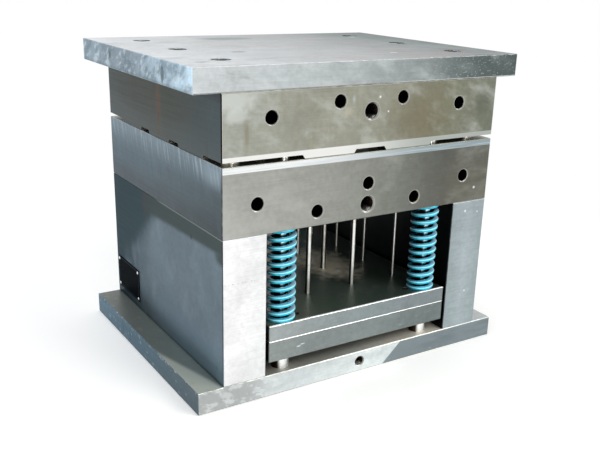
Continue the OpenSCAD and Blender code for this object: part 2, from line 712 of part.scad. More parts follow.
// Screws from above that hold the force block in the upper plate's pocket
module force_block_screws() {
    head_z = top_clamp_z - block_screw_d - head_sink;
    color([0.16, 0.16, 0.17]) at(force_screw_places) translate([0, 0, head_z])
        cap_screw(block_screw_d, head_z - force_block_z + block_screw_grip);
}

// Collared guide bush, held down by the top clamp plate
module guide_bush(i) {
    bore_d = guide_pin_d + 2 * running_gap;
    color([0.80, 0.72, 0.50]) at([guide_places[i]]) difference() {
        union() {
            drill(relief_z, top_clamp_z, bush_d);
            drill(top_clamp_z - bush_collar_h, top_clamp_z, bush_d + bush_collar_extra);
        }
        bore(relief_z, top_clamp_z, bore_d);
        translate([0, 0, relief_z]) cylinder(h = bush_lead, d1 = bore_d + 2 * bush_lead, d2 = bore_d);
    }
}

// Ejector base plate, counterbored from below for the tie screws
module ejector_base_plate() {
    color([0.42, 0.44, 0.46]) difference() {
        translate([0, 0, ejector_z]) plate(ejector_w, mould_l, ejector_base_h);
        at(tie_screw_places) translate([0, 0, ejector_z]) screw_hole_up(tie_screw_d, ejector_base_h);
    }
}

// Retainer plate: seats the heads of the return pins and ejector pins from below
module ejector_retainer_plate() {
    color([0.36, 0.37, 0.38]) difference() {
        translate([0, 0, retainer_z]) plate(ejector_w, mould_l, retainer_h);
        at(tie_screw_places) bore(retainer_z, retainer_top_z, tie_screw_d + 2 * thread_gap);
        at(stop_places) pin_seat(return_pin_d, return_head_extra, return_head_h);
        at(thick_pin_places) pin_seat(thick_pin_d, pin_head_extra, pin_head_h);
        at(thin_pin_places) pin_seat(thin_pin_d, pin_head_extra, pin_head_h);
    }
}

// Cutter for a pin of diameter d and its head in the retainer plate
module pin_seat(d, extra, head_h) {
    bore(retainer_z, retainer_top_z, d + 2 * press_gap);
    drill(retainer_z - through, retainer_z + head_h, d + extra + 2 * press_gap);
}

// Screws from below that join the two ejector plates
module ejector_plate_screws() {
    head_z = ejector_z + tie_screw_d + head_sink;
    color([0.60, 0.60, 0.61]) at(tie_screw_places) translate([0, 0, head_z]) mirror([0, 0, 1])
        cap_screw(tie_screw_d, retainer_top_z - head_sink - head_z);
}

// Return pin through its spring and the lower plate, up to the relieved face above
module return_pin(i) {
    color([0.80, 0.81, 0.83]) at([stop_places[i]])
        headed_pin(retainer_z, relief_z - return_pin_gap, return_pin_d, return_head_d, return_head_h, return_break);
}

// Ejector pins of one diameter, flush with the cavity floors
module ejector_pins(places, d) {
    color([0.86, 0.87, 0.88]) at(places)
        headed_pin(retainer_z, cavity_floor_z, d, d + pin_head_extra, pin_head_h, pin_break);
}

bottom_clamp_plate();
spacer(-1);  // spacer_left
spacer(1);  // spacer_right
lower_mould_plate();
cavity_block();
guide_pin(0);  // guide_pin_front_left
guide_pin(1);  // guide_pin_front_right
guide_pin(2);  // guide_pin_back_left
guide_pin(3);  // guide_pin_back_right
base_screws();
spacer_screws();
spacer_dowels();
cavity_block_screws();
stop_pads();
stop_pad_screws();
name_plate();
name_plate_rivets();
return_spring(0);  // spring_front_left
return_spring(1);  // spring_front_right
return_spring(2);  // spring_back_left
return_spring(3);  // spring_back_right
top_clamp_plate();
top_clamp_screws();
upper_mould_plate();
force_block();
force_block_screws();
guide_bush(0);  // guide_bush_front_left
guide_bush(1);  // guide_bush_front_right
guide_bush(2);  // guide_bush_back_left
guide_bush(3);  // guide_bush_back_right
ejector_base_plate();
ejector_retainer_plate();
ejector_plate_screws();
return_pin(0);  // return_pin_front_left
return_pin(1);  // return_pin_front_right
return_pin(2);  // return_pin_back_left
return_pin(3);  // return_pin_back_right
ejector_pins(thick_pin_places, thick_pin_d);  // ejector_pins_thick
ejector_pins(thin_pin_places, thin_pin_d);  // ejector_pins_thin
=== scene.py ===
import math

import bpy
import numpy as np
from mathutils import Matrix, Vector


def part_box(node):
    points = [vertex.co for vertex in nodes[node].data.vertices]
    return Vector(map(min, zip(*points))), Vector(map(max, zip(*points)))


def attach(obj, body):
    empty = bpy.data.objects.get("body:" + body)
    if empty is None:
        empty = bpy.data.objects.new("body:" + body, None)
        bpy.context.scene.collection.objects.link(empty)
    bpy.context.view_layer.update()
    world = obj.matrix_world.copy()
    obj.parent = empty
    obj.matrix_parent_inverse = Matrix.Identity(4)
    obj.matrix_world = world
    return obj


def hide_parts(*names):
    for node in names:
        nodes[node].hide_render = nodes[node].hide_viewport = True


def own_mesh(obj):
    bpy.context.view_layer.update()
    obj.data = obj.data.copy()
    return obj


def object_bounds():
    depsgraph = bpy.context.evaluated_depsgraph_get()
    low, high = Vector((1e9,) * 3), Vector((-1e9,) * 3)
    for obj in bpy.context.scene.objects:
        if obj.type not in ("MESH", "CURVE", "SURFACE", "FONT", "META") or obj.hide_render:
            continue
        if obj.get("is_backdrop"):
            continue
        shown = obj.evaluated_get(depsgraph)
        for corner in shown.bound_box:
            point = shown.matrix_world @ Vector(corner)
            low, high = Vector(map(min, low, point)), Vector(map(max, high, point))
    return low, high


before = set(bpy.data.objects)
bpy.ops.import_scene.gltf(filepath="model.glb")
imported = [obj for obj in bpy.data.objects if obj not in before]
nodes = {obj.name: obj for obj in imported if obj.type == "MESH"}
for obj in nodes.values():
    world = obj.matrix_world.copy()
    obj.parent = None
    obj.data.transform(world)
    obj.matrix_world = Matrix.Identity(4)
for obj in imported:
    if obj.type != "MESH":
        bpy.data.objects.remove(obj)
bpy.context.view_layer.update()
mm = 0.001
noiseRange = {"From Min": 0.3, "From Max": 0.7}  # most of what a noise gives
print("frame loaded:", len(nodes), "nodes")


def toLinear(hexColour):
    # sRGB to linear for each channel: c / 12.92 up to 0.04045, above it ((c + 0.055) / 1.055) to the power 2.4
    c = np.array([int(hexColour[i:i + 2], 16) for i in (1, 3, 5)]) / 255
    linear = np.where(c <= 0.04045, c / 12.92, ((c + 0.055) / 1.055) ** 2.4)
    return (*linear.tolist(), 1.0)


def addNode(tree, kind, sockets=None, stops=None, **settings):
    # Adds one shader node and gives back its result. A socket takes a number, a hex colour or another node's
    # output. stops are a colour ramp's (place, hex colour) pairs.
    node = tree.nodes.new("ShaderNode" + kind)
    for name, value in settings.items():
        setattr(node, name, value)
    for name, value in (sockets or {}).items():
        if isinstance(value, bpy.types.NodeSocket):
            tree.links.new(value, node.inputs[name])
        else:
            node.inputs[name].default_value = toLinear(value) if isinstance(value, str) else value
    for i, (place, colour) in enumerate(stops or []):
        mark = node.color_ramp.elements[i] if i < 2 else node.color_ramp.elements.new(place)
        mark.position, mark.color = place, toLinear(colour)
    later = {"RGBA": 2, "VECTOR": 1, "DOT_PRODUCT": 1, "LENGTH": 1}  # results that aren't the first output
    result = later.get(settings.get("data_type") or settings.get("operation"), 0)
    return node.outputs[result] if len(node.outputs) > result else None


def calc(tree, operation, *values, **settings):
    # The values fill the sockets in their order
    return addNode(tree, "Math", dict(enumerate(values)), operation=operation, **settings)


def vectorCalc(tree, operation, *values):
    return addNode(tree, "VectorMath", dict(enumerate(values)), operation=operation)


def scaled(tree, colour, factor):
    return addNode(tree, "VectorMath", {0: colour, "Scale": factor}, operation="SCALE")


def mix(tree, by, under, over):
    # The first colour where by is 0 and the second where it is 1. Sockets 6 and 7 take colours.
    return addNode(tree, "Mix", {0: by, 6: under, 7: over}, data_type="RGBA")


def newMaterial(name):
    # An empty material with its shader and output joined
    material = bpy.data.materials.new(name)
    material.use_nodes = True
    tree = material.node_tree
    tree.nodes.clear()
    shader = tree.nodes.new("ShaderNodeBsdfPrincipled")
    tree.links.new(shader.outputs[0], tree.nodes.new("ShaderNodeOutputMaterial").inputs[0])
    return material, tree, shader


def coat(material, *names):
    # Gives the material to the named CAD nodes
    for name in names:
        nodes[name].data.materials.clear()
        nodes[name].data.materials.append(material)


def makePiece(name, points, faces, material, smooth=40):
    # A mesh object from a point array and a face array, sharp where faces meet at more than smooth degrees
    mesh = bpy.data.meshes.new(name)
    mesh.from_pydata(points.reshape(-1, 3).tolist(), [], faces.tolist())
    mesh.shade_smooth()
    mesh.set_sharp_from_angle(angle=math.radians(smooth))
    mesh.materials.append(material)
    piece = bpy.data.objects.new(name, mesh)
    bpy.context.scene.collection.objects.link(piece)
    return piece


def gridFaces(rows, columns, closedRows, closedColumns, start=0):
    # Quads between neighbours (i, j), (i, j + 1), (i + 1, j + 1), (i + 1, j) of a rows by columns point grid,
    # wrapped round in a direction that is closed
    i = np.arange(rows if closedRows else rows - 1)[:, None]
    j = np.arange(columns if closedColumns else columns - 1)[None, :]
    ahead, beside = (i + 1) % rows, (j + 1) % columns
    quads = [i * columns + j, i * columns + beside, ahead * columns + beside, ahead * columns + j]
    return np.stack([q.ravel() for q in quads], axis=1) + start


# Steel plates


def surfaceSpace(tree, name):
    # What a plate's finish reads: the place, the distance to the nearest edge of the plate (the middle one of
    # the distances to its box's three pairs of faces), the depth inside a hole (the least of them), and one
    # mask for each way a face can look
    low, high = (np.array(corner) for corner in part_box(name))
    coord = addNode(tree, "TexCoord").node
    place = coord.outputs["Object"]
    centred = vectorCalc(tree, "SUBTRACT", place, (low + high) / 2)
    inward = vectorCalc(tree, "ABSOLUTE", centred)
    inward = vectorCalc(tree, "SUBTRACT", (high - low) / 2, inward)
    d = addNode(tree, "SeparateXYZ", {0: inward}).node.outputs
    least = calc(tree, "MINIMUM", d[0], d[1])
    most = calc(tree, "MAXIMUM", d[0], d[1])
    nextOne = calc(tree, "MINIMUM", most, d[2])
    looks = vectorCalc(tree, "ABSOLUTE", coord.outputs["Normal"])
    n = addNode(tree, "SeparateXYZ", {0: looks}).node.outputs
    across = addNode(tree, "SeparateXYZ", {0: place}).node.outputs
    space = {
        "place": place,
        "box": (low, high),
        "edge": calc(tree, "MAXIMUM", least, nextOne),
        "depth": calc(tree, "MINIMUM", least, d[2]),
        "x": across[0],
        "y": across[1],
    }
    # how much of the normal has to lie along that axis. A 45 degree chamfer still counts as side.
    for way, axis, share in (("side", 0, 0.7), ("sideward", 0, 0.4), ("front", 1, 0.75), ("flat", 2, 0.75)):
        space[way] = calc(tree, "GREATER_THAN", n[axis], share)
    return space


# The kinds of marks, with lengths in mm. "on" is the way that a marked face looks, None for every face.


def cloud(on, size, span, amount, colour, **more):
    # Noise stretched to that size and turned by turn degrees. It grows between the two noise values of span.
    return {"on": on, "size": size, "span": span, "amount": amount, "colour": colour, **more}


def spot(on, at, radius, amount, colour, **more):
    # The ellipsoid |(p - at) / radius| < 1, soft at its rim and ragged by noise that is wobble wide
    return {"on": on, "at": at, "radius": radius, "amount": amount, "colour": colour, **more}


def slope(on, along, span, amount, colour, **more):
    # Grows between the two places that span gives along that direction
    return {"on": on, "along": along, "span": span, "amount": amount, "colour": colour, **more}


def ring(x, height, radius, amount, colour):
    # A thin circle on the front and back faces
    return {"on": "front", "ring": (x, height, radius), "amount": amount, "colour": colour}


def markMask(tree, space, mark):
    # How strongly a mark covers the steel, 0 to 1
    place = space["place"]
    if "size" in mark:
        seed = mark.get("seed", 0)
        where = {
            "Vector": place,
            "Location": (seed * 0.73, seed * 0.31, 0),
            "Rotation": [math.radians(angle) for angle in mark.get("turn", (0, 0, 0))],
            "Scale": [mm * s for s in mark["size"]],
        }
        place = addNode(tree, "Mapping", where, vector_type="TEXTURE")
        value = addNode(tree, "TexNoise", {"Vector": place, "Scale": 1.0, "Detail": 4.0, "Roughness": 0.6})
        low, high = mark["span"]
    elif "radius" in mark:
        ragged, soft = mark.get("ragged", 0.5), mark.get("soft", 0.3)
        noise = {"Vector": place, "Scale": 1 / (mm * mark.get("wobble", 12)), "Detail": 3.0}
        noise = addNode(tree, "TexNoise", noise)
        away = vectorCalc(tree, "SUBTRACT", place, [mm * a for a in mark["at"]])
        away = vectorCalc(tree, "DIVIDE", away, [mm * r for r in mark["radius"]])
        value = vectorCalc(tree, "LENGTH", away)
        value = calc(tree, "MULTIPLY_ADD", noise, ragged, value)
        middle = 1 + 0.5 * ragged
        low, high = middle + soft, middle - soft
    elif "ring" in mark:
        x, height, radius = (mm * v for v in mark["ring"])
        away = vectorCalc(tree, "SUBTRACT", place, (x, 0, height))
        away = vectorCalc(tree, "MULTIPLY", away, (1, 0, 1))
        away = vectorCalc(tree, "LENGTH", away)
        away = calc(tree, "SUBTRACT", away, radius)
        value = calc(tree, "ABSOLUTE", away)
        low, high = 0.6 * mm, 0.25 * mm
    else:
        value = vectorCalc(tree, "DOT_PRODUCT", place, mark["along"])
        low, high = (mm * s for s in mark["span"])
    sockets = {"Value": value, "From Min": low, "From Max": high, "To Max": mark.get("amount", 1.0)}
    mask = addNode(tree, "MapRange", sockets, interpolation_type="SMOOTHSTEP")
    if mark.get("on"):
        mask = calc(tree, "MULTIPLY", mask, space[mark["on"]])
    if "within" in mark:
        limit = markMask(tree, space, mark["within"])
        mask = calc(tree, "MULTIPLY", mask, limit)
    return mask


steel = {
    "lineAlong": 9,  # noise scale along a grinding line, 110 mm
    "lineAcross": 830,  # and across it: 0.35 mm on the real face and 1.2 mm here, so that the lines show
    "films": [(60, 0.09), (7, 0.07)],  # size in mm and strength of the oil film's clouds and mottling
    "holeShadeDepth": 5,  # mm within which a drilled hole goes dark: painted shade
    "nick": 1.2,  # mm, how wide the rubbed edge gets where its noise is 1
    "roughSpread": 0.05,
}


def groundSteel(name, look):
    # Ground tool steel: fine lines from the grinding wheel along each face, a grey oily film with clouds and
    # stains, bright rubbed edges that are partly wear and partly a painted highlight, and painted shade inside the
    # drilled holes. Metal, so the index stays default. The ramps flat and front run from left to right, and side
    # from front to back; their tones, lighter or darker by the way a face looks and across each face, are partly
    # the steel's own and partly painted light and shade.
    material, tree, shader = newMaterial(look["name"])
    space = surfaceSpace(tree, name)
    low, high = space["box"]
    runX = addNode(tree, "MapRange", {"Value": space["x"], "From Min": low[0], "From Max": high[0]})
    runY = addNode(tree, "MapRange", {"Value": space["y"], "From Min": low[1], "From Max": high[1]})
    flat = addNode(tree, "ValToRGB", {0: runX}, stops=look["flat"])
    front = addNode(tree, "ValToRGB", {0: runX}, stops=look["front"])
    side = addNode(tree, "ValToRGB", {0: runY}, stops=look["side"])
    colour = mix(tree, space["front"], flat, front)
    colour = mix(tree, space["side"], colour, side)

    along, across = steel["lineAlong"], steel["lineAcross"]
    alongX = addNode(tree, "Mapping", {"Vector": space["place"], "Scale": (along, across, across)})
    alongY = addNode(tree, "Mapping", {"Vector": space["place"], "Scale": (across, along, across)})
    lines = addNode(tree, "Mix", {0: space["side"], 4: alongX, 5: alongY}, data_type="VECTOR")
    lines = addNode(tree, "TexNoise", {"Vector": lines, "Scale": 1.0, "Detail": 2.0})
    sheen = addNode(tree, "MapRange", {"Value": lines, **noiseRange, "To Min": 0.93, "To Max": 1.05})
    colour = scaled(tree, colour, sheen)

    for size, depth in steel["films"]:
        film = {"Vector": space["place"], "Scale": 1 / (mm * size), "Detail": 4.0, "Distortion": 0.4}
        film = addNode(tree, "TexNoise", film)
        film = addNode(tree, "MapRange", {"Value": film, **noiseRange, "To Min": 1 - depth, "To Max": 1 + depth})
        colour = scaled(tree, colour, film)

    for mark in look["marks"]:
        mask = markMask(tree, space, mark)
        colour = mix(tree, mask, colour, mark["colour"])

    # painted shade: a drilled hole turns dark from 0.8 mm inside it
    hole = {"Value": space["depth"], "From Min": 0.8 * mm, "From Max": steel["holeShadeDepth"] * mm}
    hole = addNode(tree, "MapRange", hole)
    colour = mix(tree, hole, colour, look.get("hole", "#2A221D"))

    # The rubbed edge is 0.3 to 0.9 mm wide and duller towards the sides: partly wear, partly a painted highlight
    # along the edge
    nicks = addNode(tree, "TexNoise", {"Vector": space["place"], "Scale": 90.0, "Detail": 3.0})
    rubbedEdgeHighlight = calc(tree, "MULTIPLY_ADD", nicks, -steel["nick"] * mm, space["edge"])
    amount = {"Value": space["sideward"], "To Min": look["edgeAmount"], "To Max": look.get("sideEdge", 0.15)}
    amount = addNode(tree, "MapRange", amount)
    rubbedEdgeHighlight = addNode(tree, "MapRange", {"Value": rubbedEdgeHighlight, "From Min": 0.3 * mm, "From Max": -0.3 * mm, "To Max": amount})
    colour = mix(tree, rubbedEdgeHighlight, colour, look["edge"])

    dull, bright = look["rough"] + steel["roughSpread"], look["rough"] - steel["roughSpread"]
    rough = addNode(tree, "MapRange", {"Value": lines, **noiseRange, "To Min": bright, "To Max": dull})
    bump = addNode(tree, "Bump", {"Strength": 0.12, "Distance": 0.2 * mm, "Height": lines})
    for socket, value in {"Base Color": colour, "Roughness": rough, "Normal": bump}.items():
        tree.links.new(value, shader.inputs[socket])
    if "flatMetal" in look:  # dusty flat faces are less of a mirror
        metal = addNode(tree, "MapRange", {"Value": space["flat"], "To Min": 1.0, "To Max": look["flatMetal"]})
        tree.links.new(metal, shader.inputs["Metallic"])
    else:
        shader.inputs["Metallic"].default_value = 1.0
    shader.inputs["Specular Tint"].default_value = toLinear(look.get("grazing", "#FFFFFF"))
    coat(material, name)


mouths = {
    # x, height, radius and chamfer of the bored mouths in mm, the same on the front and the back face. The last
    # one of each list is threaded.
    "upper_half": [(-155, 390.5, 9, 1), (-52, 404.4, 9, 1), (52, 404.4, 9, 1), (155, 390.5, 9, 1),
                   (0, 388.7, 10.5, 2)],
    "lower_half": [(-174.5, 281, 9, 1), (-83, 259.4, 9, 1), (0, 289, 9, 1), (83, 259.4, 9, 1), (174.5, 281, 9, 1),
                   (0, 259, 10.5, 2)],
    "base": [(0, 16, 7, 1.5)],
}


def mouthMarks(holes, amount, colour):
    # The pale line that a deburring tool leaves round every mouth
    return [ring(x, height, radius + chamfer + 0.1, amount, colour) for x, height, radius, chamfer in holes]


topPlate = {
    "name": "millScaledPlateTop",
    "flat": [(0, "#C7CCD0"), (0.5, "#A4A8AA"), (0.78, "#7E8486"), (1, "#3F5255")],
    "front": [(0, "#C3C9CB"), (0.4, "#B0B7B8"), (0.75, "#838D8C"), (1, "#465655")],
    "side": [(0, "#D2EDFF"), (0.3, "#A6BCCA"), (0.5, "#8495A2"), (1, "#8EA3B1")],
    "edge": "#F0F4F6",
    "edgeAmount": 0.85,
    "sideEdge": 0.35,
    "rough": 0.42,
    "marks": [
        cloud("flat", (70, 34, 50), (0.5, 0.72), 0.5, "#8F9899", seed=3),
        cloud("flat", (120, 16, 50), (0.5, 0.7), 0.42, "#B9AAA0", seed=5, turn=(0, 0, -12)),
        cloud("flat", (40, 9, 50), (0.6, 0.74), 0.32, "#DCE2E6", seed=9, turn=(0, 0, -12)),
        # painted shade: the top grows darker towards the right
        cloud("flat", (60, 60, 50), (0.36, 0.6), 0.75, "#7F8E90", seed=7,
              within={"along": (1, 0.35, 0), "span": (120, 200)}),
        slope("flat", (1, 0.3, 0), (140, 290), 0.75, "#4E5C59"),
        spot("flat", (-50, 135, 456), (44, 20, 9), 0.8, "#6F7B81", soft=0.35),
        spot("flat", (-190, 138, 456), (11, 8, 9), 0.75, "#55534F", wobble=6, ragged=1.2),
        spot("flat", (-193, -2, 456), (11, 8, 9), 0.7, "#5E5A56", wobble=6, ragged=1.2),
        spot("flat", (-128, -58, 456), (10, 6, 9), 0.8, "#5F5B57", wobble=6, ragged=1.2),
        spot("flat", (-195, -138, 456), (14, 7, 9), 0.8, "#55514D", wobble=5, ragged=1.4),
        spot("flat", (-228, -154, 456), (10, 5, 9), 0.6, "#7D7872", wobble=5, ragged=1.4),
        spot("flat", (192, -16, 456), (9, 7, 9), 0.7, "#4C5355", wobble=6, ragged=1.2),
        # painted glints: the three small white spots
        spot("flat", (183, -8, 456), (5, 4, 9), 0.9, "#F0F4F5", wobble=4),
        spot("flat", (186, 119, 456), (8, 6, 9), 0.7, "#E8EEF0", wobble=5, ragged=1),
        spot("flat", (86, -129, 456), (7, 3, 9), 0.6, "#E6EAEA", wobble=4, ragged=1),
        spot("flat", (208, -124, 456), (24, 12, 9), 0.75, "#6B5144", wobble=8, ragged=1.2),
        cloud("flat", (40, 12, 40), (0.5, 0.66), 0.5, "#96705F", seed=8,
              within={"along": (0.12, -1, 0), "span": (110, 196)}),
        cloud("side", (30, 34, 20), (0.42, 0.62), 0.6, "#5B7280", seed=2, turn=(-30, 0, 0)),
        cloud("side", (20, 24, 13), (0.5, 0.68), 0.6, "#D3E2EA", seed=4, turn=(-30, 0, 0)),
        cloud("side", (4, 5, 2.5), (0.56, 0.7), 0.5, "#C3D4DE", seed=14, turn=(-30, 0, 0)),
        spot("side", (-262, -112, 437), (9, 5, 13), 0.7, "#445863", ragged=0.9),
        spot("side", (-262, 79, 443), (9, 3, 6), 0.8, "#3B4E5A", ragged=0.9),
        slope("side", (0, 0, -1), (-430, -424.5), 0.45, "#4F6672"),
        cloud("front", (40, 30, 22), (0.45, 0.7), 0.32, "#DDE2E3", seed=6, turn=(0, 14, 0)),
        cloud("front", (34, 30, 14), (0.54, 0.72), 0.35, "#8F918B", seed=11, turn=(0, 14, 0)),
        # painted shade: the front grows darker towards the right
        cloud("front", (70, 30, 30), (0.3, 0.6), 0.75, "#56605F", seed=3, turn=(0, 14, 0),
              within={"along": (1, 0, 0), "span": (80, 190)}),
        cloud("front", (4, 4, 3), (0.56, 0.68), 0.6, "#B9C6C6", seed=12,
              within={"along": (1, 0, 0), "span": (40, 150)}),
        slope("front", (0, 0, -1), (-425.9, -425), 0.75, "#66544F",
              within={"along": (-1, 0, 0), "span": (-60, 0)}),
        slope("front", (0, 0, -1), (-425.9, -425), 0.9, "#E9EDEF", within={"along": (1, 0, 0), "span": (10, 60)}),
    ],
}
groundSteel("top_clamp_plate", topPlate)

upperPlate = {
    "name": "groundMouldPlateUpper",
    "flat": [(0, "#A6A79E"), (1, "#8A8C80")],
    "front": [(0, "#A1A49B"), (0.3, "#98998C"), (0.55, "#97988B"), (0.75, "#838371"), (1, "#787D70")],
    "side": [(0, "#39494F"), (0.4, "#2E362E"), (0.75, "#272F2A"), (1, "#233837")],
    "edge": "#D3D3CB",
    "edgeAmount": 0.5,
    "sideEdge": 0.0,
    "rough": 0.4,
    "marks": mouthMarks(mouths["upper_half"], 0.55, "#DADBD3") + [
        cloud("front", (60, 50, 30), (0.48, 0.7), 0.5, "#BFC3BD", seed=1, turn=(0, 20, 0)),
        cloud("front", (14, 50, 80), (0.45, 0.75), 0.3, "#857F66", seed=3),
        spot("front", (-208, -200, 414), (26, 9, 14), 0.75, "#CBD0CC", ragged=1, soft=0.5),
        spot("front", (-205, -200, 396), (16, 9, 9), 0.6, "#CBD0CC", ragged=1.2, soft=0.5),
        spot("front", (-190, -200, 372), (3, 9, 14), 0.4, "#7D735F", ragged=1, soft=0.5),
        spot("front", (80, -200, 372), (44, 9, 34), 0.5, "#746B52", ragged=1.4, soft=0.9),
        spot("front", (200, -200, 386), (12, 9, 16), 0.5, "#5D6257", ragged=1.2, soft=0.7),
        spot("front", (-40, -200, 391), (7, 9, 6), 0.3, "#D3CDBA", wobble=5, ragged=1.8, soft=0.7),
        spot("front", (-31, -200, 406.5), (2, 9, 4), 0.45, "#BCCDCD", wobble=4, ragged=0.8, soft=0.7),
        spot("front", (12, -200, 407), (1.6, 9, 1.6), 0.9, "#F0F0E8", ragged=0.3),
        spot("front", (27, -200, 386.6), (1.4, 9, 1.4), 0.9, "#E6E6DE", ragged=0.3),
        cloud("front", (4, 4, 4), (0.68, 0.74), 0.5, "#6E6450", seed=6),
        slope("front", (-1, 0, 0), (222.8, 224), 0.6, "#D9D3CC"),
        slope("front", (0, 0, -1), (-345.6, -344.4), 0.95, "#EAEBE8"),
        slope("front", (0, 0, -1), (-345.6, -344.4), 0.8, "#9BA39C",
              within={"along": (1, 0, 0), "span": (-60, 110)}),
        slope("side", (0, 0, -1), (-390, -339), 0.45, "#4F5A5E"),
        cloud("side", (50, 12, 120), (0.5, 0.75), 0.4, "#3F3D30", seed=7),
        spot("side", (-225, -3, 380), (9, 9, 60), 0.4, "#4F4232", ragged=1, soft=0.7),
        spot("side", (-225, -3, 392), (9, 3.4, 40), 0.85, "#4F3218", ragged=0.7),
        spot("side", (-225, 9.5, 412), (9, 1.8, 14), 0.8, "#2A2520", ragged=0.7),
        # painted shadow under the overhang of the top clamp plate
        slope("side", (0, 0, 1), (406, 424), 0.75, "#23292A"),
        slope("side", (0, 0, -1), (-334.6, -334.0), 0.95, "#050606"),
        slope("side", (0, -1, 0), (196.4, 198), 0.9, "#0C0F10"),
    ],
}
groundSteel("upper_mould_plate", upperPlate)

lowerPlate = {
    "name": "groundMouldPlateLower",
    "flat": [(0, "#A6A79E"), (1, "#8A8C80")],
    "front": [(0, "#A7A8A3"), (0.35, "#969892"), (0.6, "#7E8179"), (0.8, "#61635F"), (1, "#676861")],
    "side": [(0, "#43535A"), (0.5, "#4A5F69"), (1, "#435D6C")],
    "edge": "#D9DBD8",
    "edgeAmount": 0.5,
    "sideEdge": 0.5,
    "rough": 0.38,
    "marks": mouthMarks(mouths["lower_half"], 0.5, "#DCDCD6") + [
        cloud("front", (90, 50, 40), (0.5, 0.75), 0.35, "#B9BBB5", seed=2),
        cloud("front", (50, 50, 30), (0.5, 0.75), 0.2, "#7A8285", seed=9,
              within={"along": (1, 0, 0), "span": (20, 120)}),
        cloud("front", (5, 5, 5), (0.68, 0.76), 0.5, "#D9D9D2", seed=4),
        spot("front", (199, -200, 260), (2, 9, 2), 0.95, "#FFFFFF", ragged=0.3),
        spot("front", (176, -200, 262), (60, 9, 50), 0.35, "#6E6A58", ragged=1, soft=1.0),
        slope("front", (0, 0, 1), (323.6, 324.6), 1.0, "#EDEFEF"),
        slope("front", (0, 0, 1), (323.6, 324.6), 0.95, "#8FA0A6", within={"along": (1, 0, 0), "span": (-130, 120)}),
        cloud("front", (80, 30, 2), (0.5, 0.66), 0.5, "#C9D6DC", seed=6,
              within={"along": (0, 0, 1), "span": (324, 325)}),
        slope("side", (0, 0, -1), (-288, -244), 0.5, "#0C1416"),
        cloud("side", (9, 7, 90), (0.45, 0.7), 0.7, "#3F4D55", seed=5, turn=(-14, 0, 0)),
        slope("side", (0, 0, 1), (285, 340), 0.6, "#8496A2"),
        cloud("side", (9, 5, 70), (0.5, 0.68), 0.6, "#B3C5D0", seed=8, turn=(-14, 0, 0),
              within={"along": (0, 0, 1), "span": (296, 332)}),
        spot("side", (-225, -176, 320), (9, 30, 13), 0.55, "#93A5B1", ragged=0.5, soft=0.8),
        slope("side", (0, -1, 0), (196.8, 198.4), 0.7, "#1B2225"),
        slope("side", (0, 0, -1), (-240.2, -239.4), 0.8, "#1D2326"),
        # painted shade on the underside, over the ejector space
        slope("flat", (0, 0, -1), (-245, -240), 0.92, "#141513"),
    ],
}
groundSteel("lower_mould_plate", lowerPlate)

spacerMarks = [
    cloud("front", (2.5, 3, 1.6), (0.73, 0.78), 0.6, "#6F7679", seed=3),
    cloud("front", (60, 40, 6), (0.6, 0.8), 0.3, "#C9CED1", seed=4),
]
leftSpacer = {
    "name": "freshGroundSpacerLeft",
    "flat": [(0, "#B9C0C4"), (1, "#B9C0C4")],
    # near white: partly the fresh ground steel, partly a painted reflection of the bright studio
    "front": [(0, "#EAEAEB"), (1, "#E6E7E8")],
    "side": [(0, "#76848E"), (0.6, "#73818A"), (0.8, "#505F68"), (1, "#364750")],
    "grazing": "#C2C4C6",  # what a flat look along the face shows, dulled by an oily film
    "edge": "#F6F8F9",
    "edgeAmount": 0.5,
    "sideEdge": 0.0,
    "rough": 0.36,
    "marks": spacerMarks + [
        cloud("front", (3, 9, 3), (0.5, 0.6), 0.7, "#A9AEB1", seed=9,
              within={"at": (-196, -200, 178), "radius": (26, 9, 0.9), "ragged": 0, "soft": 0.5}),
        cloud("side", (60, 40, 60), (0.5, 0.75), 0.35, "#93A2AC", seed=5),
        # partly oil, partly painted shade: darker at the top and towards the back
        slope("side", (0, 0.6, 0.79), (164, 200), 0.95, "#384B50"),
        slope("side", (0, 0.03, 1), (208, 217), 0.95, "#4B5554", within={"along": (0, -1, 0), "span": (-90, -20)}),
        spot("side", (-225, -203, 213), (9, 22, 9), 0.9, "#4B5554", ragged=0.3, soft=0.5),
        slope("side", (0, 0, 1), (237.9, 238.3), 0.55, "#A3AEA9", within={"along": (0, -1, 0), "span": (-30, 10)}),
        spot("side", (-225, 62, 224), (9, 9, 30), 0.5, "#544F4B", ragged=0.6, soft=0.8),
        spot("side", (-225, -105, 217), (9, 1.4, 4), 0.8, "#1E2223", ragged=0.5),
        spot("side", (-225, -181, 53), (9, 3, 3), 0.6, "#2C3237", ragged=0.9),
        slope("side", (0, 0, -1), (-110, -40), 0.7, "#8BA2B2", within={"along": (0, -1, 0), "span": (-90, 60)}),
        slope("side", (0, 0, -1), (-37, -33), 0.6, "#232B2F"),
        slope("side", (0, -1, 0), (197.6, 198.8), 0.6, "#20282C"),
        # painted shade on the inner face towards the ejector space
        slope("side", (1, 0, 0), (-190, -170), 0.97, "#0E100F"),
    ],
}
groundSteel("spacer_left", leftSpacer)

